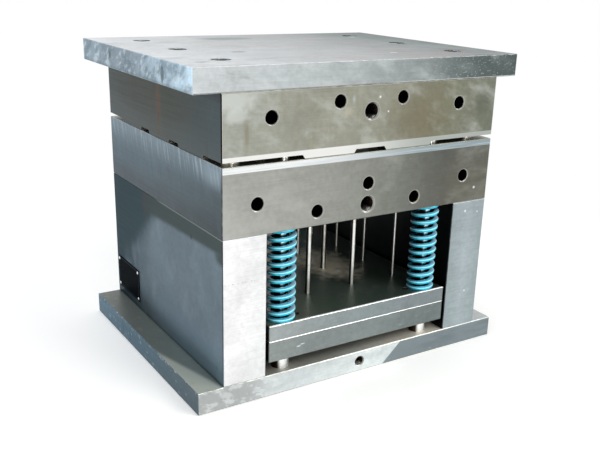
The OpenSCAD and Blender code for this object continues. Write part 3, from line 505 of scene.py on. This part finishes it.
rightSpacer = {
    "name": "freshGroundSpacerRight",
    "flat": [(0, "#A8B0B4"), (1, "#A8B0B4")],
    "front": [(0, "#98A4A7"), (0.5, "#A5B0B4"), (1, "#96A2A5")],
    "side": [(0, "#7C868C"), (1, "#7C868C")],
    "edge": "#DCE3E5",
    "edgeAmount": 0.5,
    "rough": 0.36,
    "marks": spacerMarks + [
        cloud("front", (60, 40, 5), (0.5, 0.75), 0.4, "#8E999C", seed=7),
        spot("front", (186, -200, 224), (2, 9, 2), 0.8, "#E9EEF0", ragged=0.6),
        spot("front", (211, -200, 220), (1.6, 9, 1.6), 0.7, "#E9EEF0", ragged=0.6),
        spot("front", (199.5, -200, 91), (1.6, 9, 1.6), 0.7, "#E9EEF0", ragged=0.6),
        # painted shade on the inner face towards the ejector space
        slope("side", (-1, 0, 0), (-190, -170), 0.97, "#0B0D0C"),
    ],
}
groundSteel("spacer_right", rightSpacer)

bottomPlate = {
    "name": "millScaledPlateBottom",
    "flat": [(0, "#616C69"), (0.08, "#616C69"), (0.2, "#919088"), (0.5, "#B0B1AB"), (0.68, "#D9D6C9"),
             (0.8, "#D9D6C9"), (0.9, "#BBC1C0"), (1, "#BBC1C0")],
    "front": [(0, "#C8CBCB"), (0.12, "#CFD3D4"), (0.3, "#D4DADC"), (0.55, "#DEE5E5"), (1, "#C5D1D5")],
    "side": [(0, "#48585F"), (0.5, "#3B5E70"), (1, "#366075")],
    "edge": "#F4F7F8",
    "edgeAmount": 0.85,
    "sideEdge": 0.12,
    "rough": 0.42,
    "flatMetal": 0.2,
    "marks": mouthMarks(mouths["base"], 0.7, "#EDF0F1") + [
        cloud("front", (24, 40, 14), (0.42, 0.5), 0.55, "#8F9393", seed=8, turn=(0, 20, 0),
              within={"along": (-1, 0, 0), "span": (130, 190)}),
        cloud("front", (60, 40, 14), (0.5, 0.72), 0.3, "#A9B3B8", seed=3),
        # painted reflection: the front is darker below and to the right of a diagonal line
        slope("front", (0.678, 0, -0.735), (28, 29.3), 0.95, "#818C91"),
        cloud("front", (60, 40, 12), (0.4, 0.7), 0.6, "#6D787C", seed=13,
              within={"along": (0.678, 0, -0.735), "span": (40, 90)}),
        cloud("front", (5, 5, 4), (0.66, 0.74), 0.6, "#E8ECEE", seed=6),
        cloud("side", (30, 26, 9), (0.45, 0.66), 0.6, "#48606D", seed=4, turn=(30, 0, 0)),
        cloud("side", (12, 14, 6), (0.58, 0.7), 0.6, "#A9C0CE", seed=5, turn=(30, 0, 0)),
        slope("side", (0, -1, 0), (20, 190), 0.55, "#4A5D66"),
        spot("side", (-262.5, 82, 16), (9, 1.6, 14), 0.8, "#2B3B44"),
        spot("side", (-262.5, 50, 16), (9, 1.4, 14), 0.8, "#2B3B44"),
        cloud("side", (9, 5, 3), (0.54, 0.64), 0.6, "#C9C6BC", seed=3,
              within={"along": (0, 0, 1), "span": (29.5, 31.5)}),
        # painted shadow of the spacer on the flange, with painted light on a triangle at its front corner
        slope("flat", (-1, 0.15, 0), (215, 240), 0.5, "#5C605B"),
        slope("flat", (-0.968, -0.25, 0), (262.5, 272), 0.95, "#ABB0A6"),
        # painted shade on the top inside the ejector space, behind its front
        slope("flat", (0, 1, 0), (-170, -60), 0.8, "#343D3D", within={"along": (1, 0, 0), "span": (-210, -160)}),
        cloud("flat", (14, 18, 9), (0.55, 0.72), 0.3, "#9B8F7C", seed=8),
    ],
}
groundSteel("bottom_clamp_plate", bottomPlate)

ejectorMarks = [
    cloud("front", (30, 20, 9), (0.55, 0.75), 0.35, "#A9B2B3", seed=2),
    cloud("front", (2.5, 3, 2), (0.7, 0.76), 0.5, "#D5DADB", seed=5),
]
retainerPlate = {
    "name": "oiledRetainerPlate",
    "flat": [(0, "#535B4B"), (0.35, "#404D44"), (1, "#2A352F")],
    "front": [(0, "#9EA5A5"), (0.5, "#8C9698"), (1, "#7F888B")],
    "side": [(0, "#6F7776"), (1, "#6F7776")],
    "edge": "#FAFCFD",
    "edgeAmount": 0.9,
    "rough": 0.4,
    "flatMetal": 0.2,
    "marks": ejectorMarks + [
        # painted highlights: white lines along the top front edge and round the bottom edge
        slope(None, (0, 0, 1), (104.3, 104.6), 0.95, "#FFFFFF",
              within={"along": (0, -1, 0), "span": (196.2, 196.5)}),
        slope(None, (0, 0, -1), (-82.8, -82.5), 0.95, "#FFFFFF"),
        # painted light: pale patches where light falls on the top, in the middle and at the back left
        spot("flat", (50, -20, 105), (34, 60, 9), 0.95, "#FAF3DD", ragged=1.2, soft=0.7),
        spot("flat", (-80, 60, 105), (50, 60, 9), 0.5, "#8F8875", ragged=0.8, soft=0.7),
        cloud("flat", (26, 40, 9), (0.55, 0.78), 0.3, "#6A6F6B", seed=6),
        # painted glint: a small white spot
        spot("flat", (50, -64, 105), (2.2, 3, 9), 1.0, "#FFFFFF", ragged=0.3),
    ],
}
groundSteel("ejector_retainer_plate", retainerPlate)

ejectorPlate = {
    "name": "oiledEjectorPlate",
    "flat": [(0, "#4A504F"), (1, "#303533")],
    "front": [(0, "#8F9695"), (0.6, "#828B8B"), (1, "#717A7A")],
    "side": [(0, "#6F7776"), (1, "#6F7776")],
    "edge": "#E4E9EA",
    "edgeAmount": 0.6,
    "rough": 0.36,
    "marks": ejectorMarks + [
        # painted highlight: a white line along the top edges
        slope(None, (0, 0, 1), (81.3, 81.6), 0.9, "#FFFFFF"),
        spot("front", (-107, -197, 66), (3.5, 20, 1.1), 0.6, "#F4F6F6", wobble=3, ragged=0.8),
        spot("front", (-101.5, -197, 68.4), (3.5, 20, 0.9), 0.6, "#F4F6F6", wobble=3, ragged=0.8),
    ],
}
groundSteel("ejector_base_plate", ejectorPlate)

blockLook = {
    "name": "polishedMouldSteel",
    "flat": [(0, "#C6C8C8"), (1, "#B9BCBC")],
    "front": [(0, "#BFC1C1"), (1, "#B4B7B7")],
    "side": [(0, "#BFC1C1"), (1, "#B4B7B7")],
    "edge": "#E8EAEA",
    "edgeAmount": 0.5,
    "hole": "#A3A6A6",
    "rough": 0.22,
    "marks": [
        cloud(None, (40, 40, 30), (0.55, 0.75), 0.4, "#9A8F80", seed=2),
        cloud(None, (6, 6, 6), (0.64, 0.72), 0.3, "#7C7468", seed=4),
    ],
}
groundSteel("cavity_block", blockLook)
groundSteel("force_block", {**blockLook, "name": "polishedForceSteel"})
print("plates finished")


# Pins, screws and bushes


def turnedMetal(look):
    # Round ground or turned pieces: fine rings round the axis from the tool, with smears of oil or oxide. Each
    # tint in the look recolours the surfaces whose normal lies along a direction, from the first dot product to
    # the second: painted shade on some sides and painted glints on others. "fade" paints shade into the depth of
    # a hole.
    material, tree, shader = newMaterial(look["name"])
    coord = addNode(tree, "TexCoord").node.outputs
    place = coord["Object"]
    rings = addNode(tree, "Mapping", {"Vector": place, "Scale": (40, 40, 1 / (mm * look["ringPitch"]))})
    rings = addNode(tree, "TexNoise", {"Vector": rings, "Scale": 1.0, "Detail": 2.0})
    smears = addNode(tree, "Mapping", {"Vector": place, "Scale": [1 / (mm * s) for s in look["smear"]]})
    smears = addNode(tree, "TexNoise", {"Vector": smears, "Scale": 1.0, "Detail": 4.0, "Roughness": 0.6})
    cover = addNode(tree, "MapRange", {"Value": smears, "From Min": 0.48, "From Max": 0.66, "To Max": look["cover"]})
    colour = mix(tree, cover, look["colour"], look["film"])
    sheen = addNode(tree, "MapRange", {"Value": rings, **noiseRange, "To Min": 0.9, "To Max": 1.08})
    colour = scaled(tree, colour, sheen)
    for direction, low, high, tint in look.get("paintedShadeAndGlints", []):
        turned = vectorCalc(tree, "DOT_PRODUCT", coord["Normal"], direction)
        turned = {"Value": turned, "From Min": low, "From Max": high}
        turned = addNode(tree, "MapRange", turned, interpolation_type="SMOOTHSTEP")
        colour = mix(tree, turned, colour, tint)
    if "fade" in look:
        start, stop, tint = look["fade"]
        inward = vectorCalc(tree, "ABSOLUTE", place)
        inward = addNode(tree, "SeparateXYZ", {0: inward}).node.outputs[1]
        inward = {"Value": inward, "From Min": mm * (plateHalf - start), "From Max": mm * (plateHalf - stop)}
        inward = addNode(tree, "MapRange", inward)
        colour = mix(tree, inward, colour, tint)
    satin, dull = look["rough"]
    rough = {"Value": smears, "From Min": 0.35, "From Max": 0.65, "To Min": satin, "To Max": dull}
    rough = addNode(tree, "MapRange", rough)
    bump = addNode(tree, "Bump", {"Strength": 0.1, "Distance": 0.1 * mm, "Height": rings})
    for socket, value in {"Base Color": colour, "Roughness": rough, "Normal": bump}.items():
        tree.links.new(value, shader.inputs[socket])
    shader.inputs["Metallic"].default_value = 1.0
    return material


plateHalf = 200  # mm from the middle to the front and back faces
awayFromLight = (-0.84, 0.54, 0)
toLight = (0.84, -0.54, 0)
corners = {"front_left": (-1, -1), "front_right": (1, -1), "back_left": (-1, 1), "back_right": (1, 1)}

# Ejector pins are hardened and centreless ground: nearly white, with rings 0.8 mm apart that only just show
pinSteel = turnedMetal({
    "name": "hardenedGroundPinSteel", "colour": "#E6E6E2", "film": "#B9B2A0", "cover": 0.5,
    "ringPitch": 0.8, "smear": (12, 12, 16), "rough": (0.3, 0.42),
    # painted shade along both edges of each pin: dark on the side away from the light, grey on the side that faces
    # it
    "paintedShadeAndGlints": [(awayFromLight, 0.05, 0.6, "#3A3C3C"), (toLight, 0.55, 0.95, "#74797F")],
})
coat(pinSteel, "ejector_pins_thick", "ejector_pins_thin")

# Guide pins and dowels are the same steel, wiped clean
guideSteel = turnedMetal({
    "name": "wipedGuidePinSteel", "colour": "#DEDEDA", "film": "#A9A497", "cover": 0.5,
    "ringPitch": 0.8, "smear": (16, 16, 24), "rough": (0.2, 0.34),
})
coat(guideSteel, *["guide_pin_" + corner for corner in corners], "spacer_dowels")

# Return pins run in oil: brown-grey and smooth, with painted shade on the side away from the light and a
# painted glint, white, on the side that faces the front
oiledPinSteel = turnedMetal({
    "name": "oiledReturnPinSteel", "colour": "#8E8B84", "film": "#4E4B46", "cover": 0.8,
    "ringPitch": 0.8, "smear": (12, 12, 16), "rough": (0.12, 0.2),
    "paintedShadeAndGlints": [(awayFromLight, -0.2, 0.4, "#141312"), ((-0.26, -0.96, 0.1), 0.91, 0.965, "#FFFFFF")],
})
coat(oiledPinSteel, *["return_pin_" + corner for corner in corners])

# Stop pads are bright turned steel with painted shade, brown-black, on the side away from the light
padSteel = turnedMetal({
    "name": "turnedStopPadSteel", "colour": "#FAFBFB", "film": "#DADCDA", "cover": 0.5,
    "ringPitch": 0.6, "smear": (5, 5, 5), "rough": (0.35, 0.5),
    "paintedShadeAndGlints": [(awayFromLight, -0.15, 0.3, "#3A2E26")],
})
coat(padSteel, "stop_pads")

# Black oxide on cap screws: brown-black and waxy, greyer where the key and the driver have rubbed
screwSteel = turnedMetal({
    "name": "blackOxideScrewSteel", "colour": "#3A3734", "film": "#57524C", "cover": 0.6,
    "ringPitch": 1.2, "smear": (6, 6, 6), "rough": (0.32, 0.5),
})
coat(screwSteel, "base_screws", "spacer_screws", "cavity_block_screws", "stop_pad_screws",
     "top_clamp_screws", "force_block_screws", "ejector_plate_screws")

# Turned bearing bronze: warm yellow with tool rings 0.6 mm apart and darker oil in them
bushBronze = turnedMetal({
    "name": "turnedBushBronze", "colour": "#C9A871", "film": "#8C7046", "cover": 0.6,
    "ringPitch": 0.6, "smear": (14, 14, 9), "rough": (0.2, 0.36),
})
coat(bushBronze, *["guide_bush_" + corner for corner in corners])

# Rivets are soft aluminium: pale and satin
rivetMetal = turnedMetal({
    "name": "satinRivetAluminium", "colour": "#D6D8D8", "film": "#8E9294", "cover": 0.4,
    "ringPitch": 0.5, "smear": (2, 2, 2), "rough": (0.3, 0.45),
})
coat(rivetMetal, "name_plate_rivets")

# Bare tapped threads: bright steel with oil-brown smears, painted shade on the walls that look down, so that
# the flanks that face up near the mouth stay bright, and painted shade going black further in
threadSteel = turnedMetal({
    "name": "freshCutThreadSteel", "colour": "#F1F0EE", "film": "#8A7B6D", "cover": 0.75,
    "ringPitch": 0.9, "smear": (5, 5, 5), "rough": (0.22, 0.4),
    "paintedShadeAndGlints": [((-0.6, 0, -0.8), -0.45, 0.05, "#1B1511")], "fade": (9, 30, "#0D0B0A"),
})

# Countersunk mouths: satin grey from the deburring tool, with a painted highlight, white, on the part of the
# cone that faces up and to the front
mouthSteel = turnedMetal({
    "name": "satinCountersinkSteel", "colour": "#94958F", "film": "#62625C", "cover": 0.5,
    "ringPitch": 0.5, "smear": (4, 4, 4), "rough": (0.3, 0.45),
    "paintedShadeAndGlints": [((0.42, -0.62, 0.66), 0.9, 0.98, "#FFFFFF")],
})

namePlate = {
    "lacquer": "#0A0F13",
    "dust": "#3B4854",
    "line": "#5C6B78",  # worn line round the field
    "lineInset": 2.4,  # mm from the plate's edge
    "grazing": "#BCBCBC",
}


def namePlateSheet():
    # Sheet metal under a thin black lacquer, with a worn line round its field, scuffed and dusty
    material, tree, shader = newMaterial("blackLacqueredSheet")
    space = surfaceSpace(tree, "name_plate")
    noise = {"Vector": space["place"], "Scale": 140.0, "Detail": 6.0, "Roughness": 0.7}
    dust = addNode(tree, "TexNoise", noise)
    dust = addNode(tree, "MapRange", {"Value": dust, "From Min": 0.5, "From Max": 0.75, "To Max": 0.2})
    colour = mix(tree, dust, namePlate["lacquer"], namePlate["dust"])
    off = calc(tree, "SUBTRACT", space["edge"], namePlate["lineInset"] * mm)
    off = calc(tree, "ABSOLUTE", off)
    line = addNode(tree, "MapRange", {"Value": off, "From Min": 0.6 * mm, "From Max": 0.3 * mm, "To Max": 0.45})
    colour = mix(tree, line, colour, namePlate["line"])
    rough = addNode(tree, "MapRange", {"Value": dust, "From Max": 0.3, "To Min": 0.5, "To Max": 0.7})
    tree.links.new(colour, shader.inputs["Base Color"])
    tree.links.new(rough, shader.inputs["Roughness"])
    shader.inputs["Metallic"].default_value = 1.0
    shader.inputs["Specular Tint"].default_value = toLinear(namePlate["grazing"])
    coat(material, "name_plate")


namePlateSheet()
print("pins, screws, bushes and name plate finished")


# Return springs

spring = {
    "outerRadius": 20.7 * mm,
    "wireWide": 8 * mm,  # across the coil
    "wireHigh": 5.5 * mm,  # along the coil
    "corner": 2.6,  # 2 is an ellipse, more is squarer
    "coils": 13,
    "closedRise": 5.8 * mm,  # rise of the first and the last turn
    "groundTip": 1.25 * mm,  # what is ground off each end
    "foot": 105 * mm,
    "top": 269 * mm,
    "x": 125 * mm,
    "y": 178 * mm,
    "stepsATurn": 36,
    "stepsRoundWire": 16,
    "paint": "#3FCFE5",
    "paintLow": "#1EB0D6",
    "crestHighlight": "#D6FCFD",  # painted highlight: a thin, pale line along the upper outer corner of the wire
    "under": "#0A6080",  # painted shade on the faces that look down
    "shade": "#0A3A4C",  # the side away from the light
    "innerShade": "#10161A",  # painted shade on the side that faces the pin, inside the coil
    "dust": "#A6BACE",  # on the faces that look up: partly dust, partly painted light on the lit tops
    "gloss": "#747474",  # dulls the enamel's mirror, which dust and oil cover
}


def springPaint():
    # Sprayed enamel on spring steel: glossy light blue, with painted shade on the side away from the light, on
    # the faces that look down and inside the coil, a painted highlight along the upper outer corner of the wire,
    # and grey-blue on the faces that look up that is partly dust and partly painted light. Every spring is folded
    # onto one quadrant, so that "radius" is the distance from its own axis and "local" the place from that axis.
    material, tree, shader = newMaterial("sprayedSpringEnamel")
    coord = addNode(tree, "TexCoord").node.outputs
    place = coord["Object"]
    flatPlace = vectorCalc(tree, "MULTIPLY", place, (1, 1, 0))
    corner = vectorCalc(tree, "ABSOLUTE", flatPlace)
    corner = vectorCalc(tree, "SUBTRACT", corner, (spring["x"], spring["y"], 0))
    radius = vectorCalc(tree, "LENGTH", corner)
    quadrant = vectorCalc(tree, "SIGN", flatPlace)
    local = vectorCalc(tree, "MULTIPLY", corner, quadrant)

    haze = addNode(tree, "TexNoise", {"Vector": place, "Scale": 160.0, "Detail": 4.0})
    colour = addNode(tree, "ValToRGB", {0: haze}, stops=[(0.3, spring["paintLow"]), (0.7, spring["paint"])])
    up = addNode(tree, "SeparateXYZ", {0: coord["Normal"]}).node.outputs[2]
    # painted shade on the faces that look down
    downShade = addNode(tree, "MapRange", {"Value": up, "From Min": -0.45, "From Max": -0.98, "To Max": 0.7})
    colour = mix(tree, downShade, colour, spring["under"])

    # the painted highlight lies where the normal's height is near 0.5, on the outside of the coil
    crestHighlight = calc(tree, "SUBTRACT", up, 0.5)
    crestHighlight = calc(tree, "ABSOLUTE", crestHighlight)
    crestHighlight = {"Value": crestHighlight, "From Min": 0.3, "From Max": 0.1, "To Max": 0.8}
    crestHighlight = addNode(tree, "MapRange", crestHighlight, interpolation_type="SMOOTHSTEP")
    outer = addNode(tree, "MapRange", {"Value": radius, "From Min": 17 * mm, "From Max": 18.5 * mm})
    crestHighlight = calc(tree, "MULTIPLY", crestHighlight, outer)

    # painted shade inside the coil
    inner = {"Value": radius, "From Min": 15.2 * mm, "From Max": 13.2 * mm, "To Max": 0.9}
    inner = addNode(tree, "MapRange", inner)
    colour = mix(tree, inner, colour, spring["innerShade"])

    # grey-blue on the tops, strongest on the lit right side: partly dust, partly painted light
    dust = addNode(tree, "MapRange", {"Value": up, "From Min": 0.65, "From Max": 0.92, "To Max": 0.85})
    rightward = vectorCalc(tree, "DOT_PRODUCT", local, (0.84, 0.1, 0))
    rightward = {"Value": rightward, "From Min": -2 * mm, "From Max": 8 * mm, "To Min": 0.25}
    rightward = addNode(tree, "MapRange", rightward)
    dust = calc(tree, "MULTIPLY", dust, rightward)
    colour = mix(tree, dust, colour, spring["dust"])

    away = vectorCalc(tree, "DOT_PRODUCT", local, awayFromLight)
    away = addNode(tree, "MapRange", {"Value": away, "From Min": 7 * mm, "From Max": 21 * mm, "To Max": 0.9})
    colour = mix(tree, away, colour, spring["shade"])
    lit = addNode(tree, "MapRange", {"Value": away, "To Min": 1.0, "To Max": 0.3})
    crestHighlight = calc(tree, "MULTIPLY", crestHighlight, lit)
    colour = mix(tree, crestHighlight, colour, spring["crestHighlight"])

    # no mirror of the white studio inside the coil, so that side counts as dark metal
    hidden = calc(tree, "MULTIPLY", inner, 1.1, use_clamp=True)
    rough = addNode(tree, "MapRange", {"Value": haze, **noiseRange, "To Min": 0.26, "To Max": 0.38})
    bump = addNode(tree, "Bump", {"Strength": 0.08, "Distance": 0.2 * mm, "Height": haze})
    for socket, value in {"Base Color": colour, "Roughness": rough, "Normal": bump, "Metallic": hidden}.items():
        tree.links.new(value, shader.inputs[socket])
    shader.inputs["Specular Tint"].default_value = toLinear(spring["gloss"])
    return material


def springWire(x, y):
    # Point at t turns and angle s round the wire: radius R + a |cos s|^(2/n) sign(cos s), turned by t about the
    # spring's axis, height z(t) + b |sin s|^(2/n) sign(sin s), kept between the two ground ends. z rises by the
    # closed rise over the first and last turn, and evenly over the coils between them.
    a, b = spring["wireWide"] / 2, spring["wireHigh"] / 2
    middle, n = spring["outerRadius"] - a, 2 / spring["corner"]
    length, turns = spring["top"] - spring["foot"], spring["coils"] + 2
    rise = length + 2 * spring["groundTip"]
    t = np.linspace(0, turns, turns * spring["stepsATurn"] + 1)[:, None]
    s = np.linspace(0, 2 * np.pi, spring["stepsRoundWire"], endpoint=False)[None, :]
    height = np.interp(t, [0, 1, turns - 1, turns], [0, spring["closedRise"], rise - spring["closedRise"], rise])
    radius = middle + a * np.sign(np.cos(s)) * np.abs(np.cos(s)) ** n
    z = height - spring["groundTip"] + b * np.sign(np.sin(s)) * np.abs(np.sin(s)) ** n
    z = spring["foot"] + np.clip(z, 0, length)
    turn = 2 * np.pi * t
    return np.stack([x + radius * np.cos(turn), y + radius * np.sin(turn), z], axis=-1)


def closedTube(points):
    # Quads along the tube, and at each end a fan of triangles round one more point in the middle of its ring
    rows, columns = points.shape[:2]
    ends = np.stack([points[0].mean(axis=0), points[-1].mean(axis=0)])
    j = np.arange(columns)
    ahead = (j + 1) % columns
    last = (rows - 1) * columns
    sides = gridFaces(rows, columns, False, True)[:, ::-1]
    first = np.stack([j, ahead, np.full(columns, rows * columns)], axis=1)
    final = np.stack([last + ahead, last + j, np.full(columns, rows * columns + 1)], axis=1)
    faces = np.array(sides.tolist() + first.tolist() + final.tolist(), dtype=object)
    return np.vstack([points.reshape(-1, 3), ends]), faces


enamel = springPaint()
for name, (signX, signY) in corners.items():
    x, y = signX * spring["x"], signY * spring["y"]
    points, faces = closedTube(springWire(x, y))
    coil = makePiece("returnSpring_" + name, points, faces, enamel)
    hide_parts("spring_" + name)
    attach(coil, "lower_half")
    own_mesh(coil)
print("springs wound")


# Threads and countersunk mouths, in mm until the points are made

thread = {
    "start": 2.0,  # below the mouth's chamfer
    "wall": 0.05,  # how far the valleys stand inside the outer wall
    "gap": 0.01,  # between the sleeve and the hole's wall
    "ridge": 0.28,  # ridge height as a share of the pitch
    "flatten": 1.25,  # cuts the ridges flat at 1 / flatten of their full height
    "leadIn": (0.2, 2.0),  # where the ridges begin, and the length over which they grow
    "leadOut": 1.5,  # the length over which they end
    "free": 0.5,  # left without a thread at the bottom of the hole
    "steps": 40,  # round the hole
    "stepsAPitch": 8,
}
threads = [
    # name, body, mouth, pitch and depth
    ("upperEyeThread", "upper_half", mouths["upper_half"][-1], 3.0, 43),
    ("lowerEyeThread", "lower_half", mouths["lower_half"][-1], 3.0, 43),
    ("baseEyeThread", "lower_half", mouths["base"][0], 2.0, 28.5),
]


def threadSleeve(mouth, pitch, depth, side):
    # Closed sleeve inside a hole: outer wall at the hole's radius, inner wall at radius - ridge * w, where w
    # rises and falls once a pitch, turned on with the angle: w = |2 frac(y / pitch - angle / 2 pi) - 1|
    x, height, radius = mouth[:3]
    outerWall, (begin, grow) = radius - thread["gap"], thread["leadIn"]
    angle = np.linspace(0, 2 * np.pi, thread["steps"], endpoint=False)[:, None]
    y = np.linspace(0, depth, int(depth / pitch * thread["stepsAPitch"]) + 1)[None, :]
    wave = np.abs(2 * np.mod(y / pitch - angle / (2 * np.pi), 1) - 1)
    fade = np.clip((y - begin) / grow, 0, 1) * np.clip((depth - y) / thread["leadOut"], 0, 1)
    ridge = thread["ridge"] * pitch * fade * np.clip(thread["flatten"] * wave, 0, 1)
    inner = outerWall - thread["wall"] - ridge
    y = np.broadcast_to(y, inner.shape)
    wall = np.full((angle.size, 1), outerWall)
    r = np.hstack([inner, wall, wall])
    y = np.hstack([y, np.full_like(wall, depth), np.zeros_like(wall)])
    px = x + side * r * np.cos(angle)
    py = -side * (plateHalf - thread["start"] - y)
    pz = height + r * np.sin(angle)
    return np.stack([px, py, pz], axis=-1) * mm


for name, body, mouth, pitch, depth in threads:
    for end, side in (("Front", 1), ("Back", -1)):
        points = threadSleeve(mouth, pitch, depth - thread["free"], side)
        faces = gridFaces(points.shape[0], points.shape[1], True, True)
        sleeve = makePiece(name + end, points, faces, threadSteel, 30)
        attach(sleeve, body)


def mouthRing(x, height, radius, chamfer, side):
    # Closed ring that lies 0.03 mm proud of a countersink's cone: four points round its section, carried
    # round the mouth's circle
    lift, sunk, stepsRound = 0.03, 0.02, 64
    r = np.array([radius - lift, radius + chamfer - lift, radius + chamfer, radius])
    y = np.array([chamfer - lift, 0.0, sunk, chamfer + sunk])
    angle = np.linspace(0, 2 * np.pi, stepsRound, endpoint=False)[:, None]
    px = x + side * r * np.cos(angle)
    pz = height + r * np.sin(angle)
    py = np.broadcast_to(-side * (plateHalf - y), px.shape)
    return np.stack([px, py, pz], axis=-1) * mm


bored = {"upper_half": mouths["upper_half"], "lower_half": mouths["lower_half"] + mouths["base"]}
for body, holes in bored.items():
    rings = np.stack([mouthRing(*hole, side) for hole in holes for side in (1, -1)])
    count, steps, around = rings.shape[:3]
    faces = [gridFaces(steps, around, True, True, start=steps * around * k) for k in range(count)]
    piece = makePiece("mouthRings_" + body, rings, np.vstack(faces), mouthSteel, 30)
    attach(piece, body)
print("threads and mouths cut")


# Floor, light and camera

floorLook = {
    "size": 12.0,
    "colour": "#F7F7F5",
    "colourLow": "#F5F5F3",
    "whiteFrom": 0.5,  # distance from the middle at which the floor starts to turn to plain white
    "whiteAt": 1.1,
    "lift": 0.18,  # white that the floor shows over its own shade, so that the shadow stays light
}


def seenRays(tree):
    # 1 for the rays that show the stage: to the camera, in a mirror and through glass
    path = addNode(tree, "LightPath").node.outputs
    seen = calc(tree, "MAXIMUM", path["Is Camera Ray"], path["Is Glossy Ray"])
    return calc(tree, "MAXIMUM", seen, path["Is Transmission Ray"])


floorMaterial, tree, shader = newMaterial("matteStudioFloor")
place = addNode(tree, "TexCoord").node.outputs["Object"]
grain = addNode(tree, "TexNoise", {"Vector": place, "Scale": 3.0, "Detail": 2.0})
grain = addNode(tree, "ValToRGB", {0: grain}, stops=[(0.3, floorLook["colourLow"]), (0.7, floorLook["colour"])])
seen = seenRays(tree)
lift = calc(tree, "MULTIPLY", seen, floorLook["lift"])
for socket, value in {"Base Color": grain, "Emission Strength": lift}.items():
    tree.links.new(value, shader.inputs[socket])
shader.inputs["Emission Color"].default_value = (1, 1, 1, 1)
shader.inputs["Roughness"].default_value = 0.9
shader.inputs["Specular IOR Level"].default_value = 0.0
distance = vectorCalc(tree, "LENGTH", place)
sockets = {"Value": distance, "From Min": floorLook["whiteFrom"], "From Max": floorLook["whiteAt"]}
far = addNode(tree, "MapRange", sockets, interpolation_type="SMOOTHSTEP")
far = calc(tree, "MULTIPLY", far, seen)
white = addNode(tree, "Emission", {"Strength": 1.0})
surface = addNode(tree, "MixShader", {0: far, 1: shader.outputs[0], 2: white})
tree.links.new(surface, tree.nodes["Material Output"].inputs[0])
half, low = floorLook["size"] / 2, -0.5 * mm
points = np.array([[-half, -half, low], [half, -half, low], [half, half, low], [-half, half, low]])
floor = makePiece("floor", points, np.array([[0, 1, 2, 3]]), floorMaterial)
floor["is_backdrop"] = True

world = bpy.data.worlds.new("studio")
bpy.context.scene.world = world
world.use_nodes = True
tree = world.node_tree
tree.nodes.clear()
skyLight, skyShown = (0.62, 0.63, 0.65, 1), (1, 1, 1, 1)  # what lights the mould, and what is seen
sky = mix(tree, seenRays(tree), skyLight, skyShown)
light = addNode(tree, "Background", {"Color": sky, "Strength": 1.0})
addNode(tree, "OutputWorld", {"Surface": light})

lamps = [
    # name, place, size, power, colour
    ("keySoftbox", (1.2, -2.2, 2.3), 1.6, 42, "#FFFDF8"),
    ("fillSoftbox", (-2.6, -0.6, 1.6), 1.8, 12, "#EAF2FF"),
    ("topSoftbox", (-0.3, 0.9, 2.8), 1.8, 22, "#FFFFFF"),
    ("lowCard", (-0.8, -2.4, 0.5), 0.5, 14, "#FFF8EC"),
]
aim = Vector((0, 0, 0.22))
for name, place, size, power, colour in lamps:
    lamp = bpy.data.lights.new(name, "AREA")
    lamp.shape, lamp.size, lamp.energy, lamp.color = "SQUARE", size, power, toLinear(colour)[:3]
    holder = bpy.data.objects.new(name, lamp)
    holder.location = place
    holder.rotation_euler = (aim - Vector(place)).to_track_quat("-Z", "Y").to_euler()
    bpy.context.scene.collection.objects.link(holder)

view = {
    "place": (-0.6568, -1.0732, 0.5687),
    "azimuth": -32.93,
    "elevation": 18.86,
    "roll": 1.71,
    "lens": 48.75,
    "shift": (-0.019, 0.0332),
}
az, el, roll = (math.radians(view[k]) for k in ("azimuth", "elevation", "roll"))
right = Vector((math.cos(az), math.sin(az), 0))
back = Vector((math.sin(az) * math.cos(el), -math.cos(az) * math.cos(el), math.sin(el)))
up = back.cross(right)
tilted = math.cos(roll) * right + math.sin(roll) * up
upright = -math.sin(roll) * right + math.cos(roll) * up
lens = bpy.data.cameras.new("photoCamera")
lens.sensor_fit, lens.sensor_width, lens.lens = "HORIZONTAL", 36, view["lens"]
lens.shift_x, lens.shift_y = view["shift"]
lens.clip_start, lens.clip_end = 0.02, 50
camera = bpy.data.objects.new("photoCamera", lens)
camera.matrix_world = Matrix.Translation(view["place"]) @ Matrix((tilted, upright, back)).transposed().to_4x4()
bpy.context.scene.collection.objects.link(camera)
bpy.context.scene.camera = camera
bpy.context.scene.view_settings.view_transform = "Standard"
print("stage, light and camera set")

low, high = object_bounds()
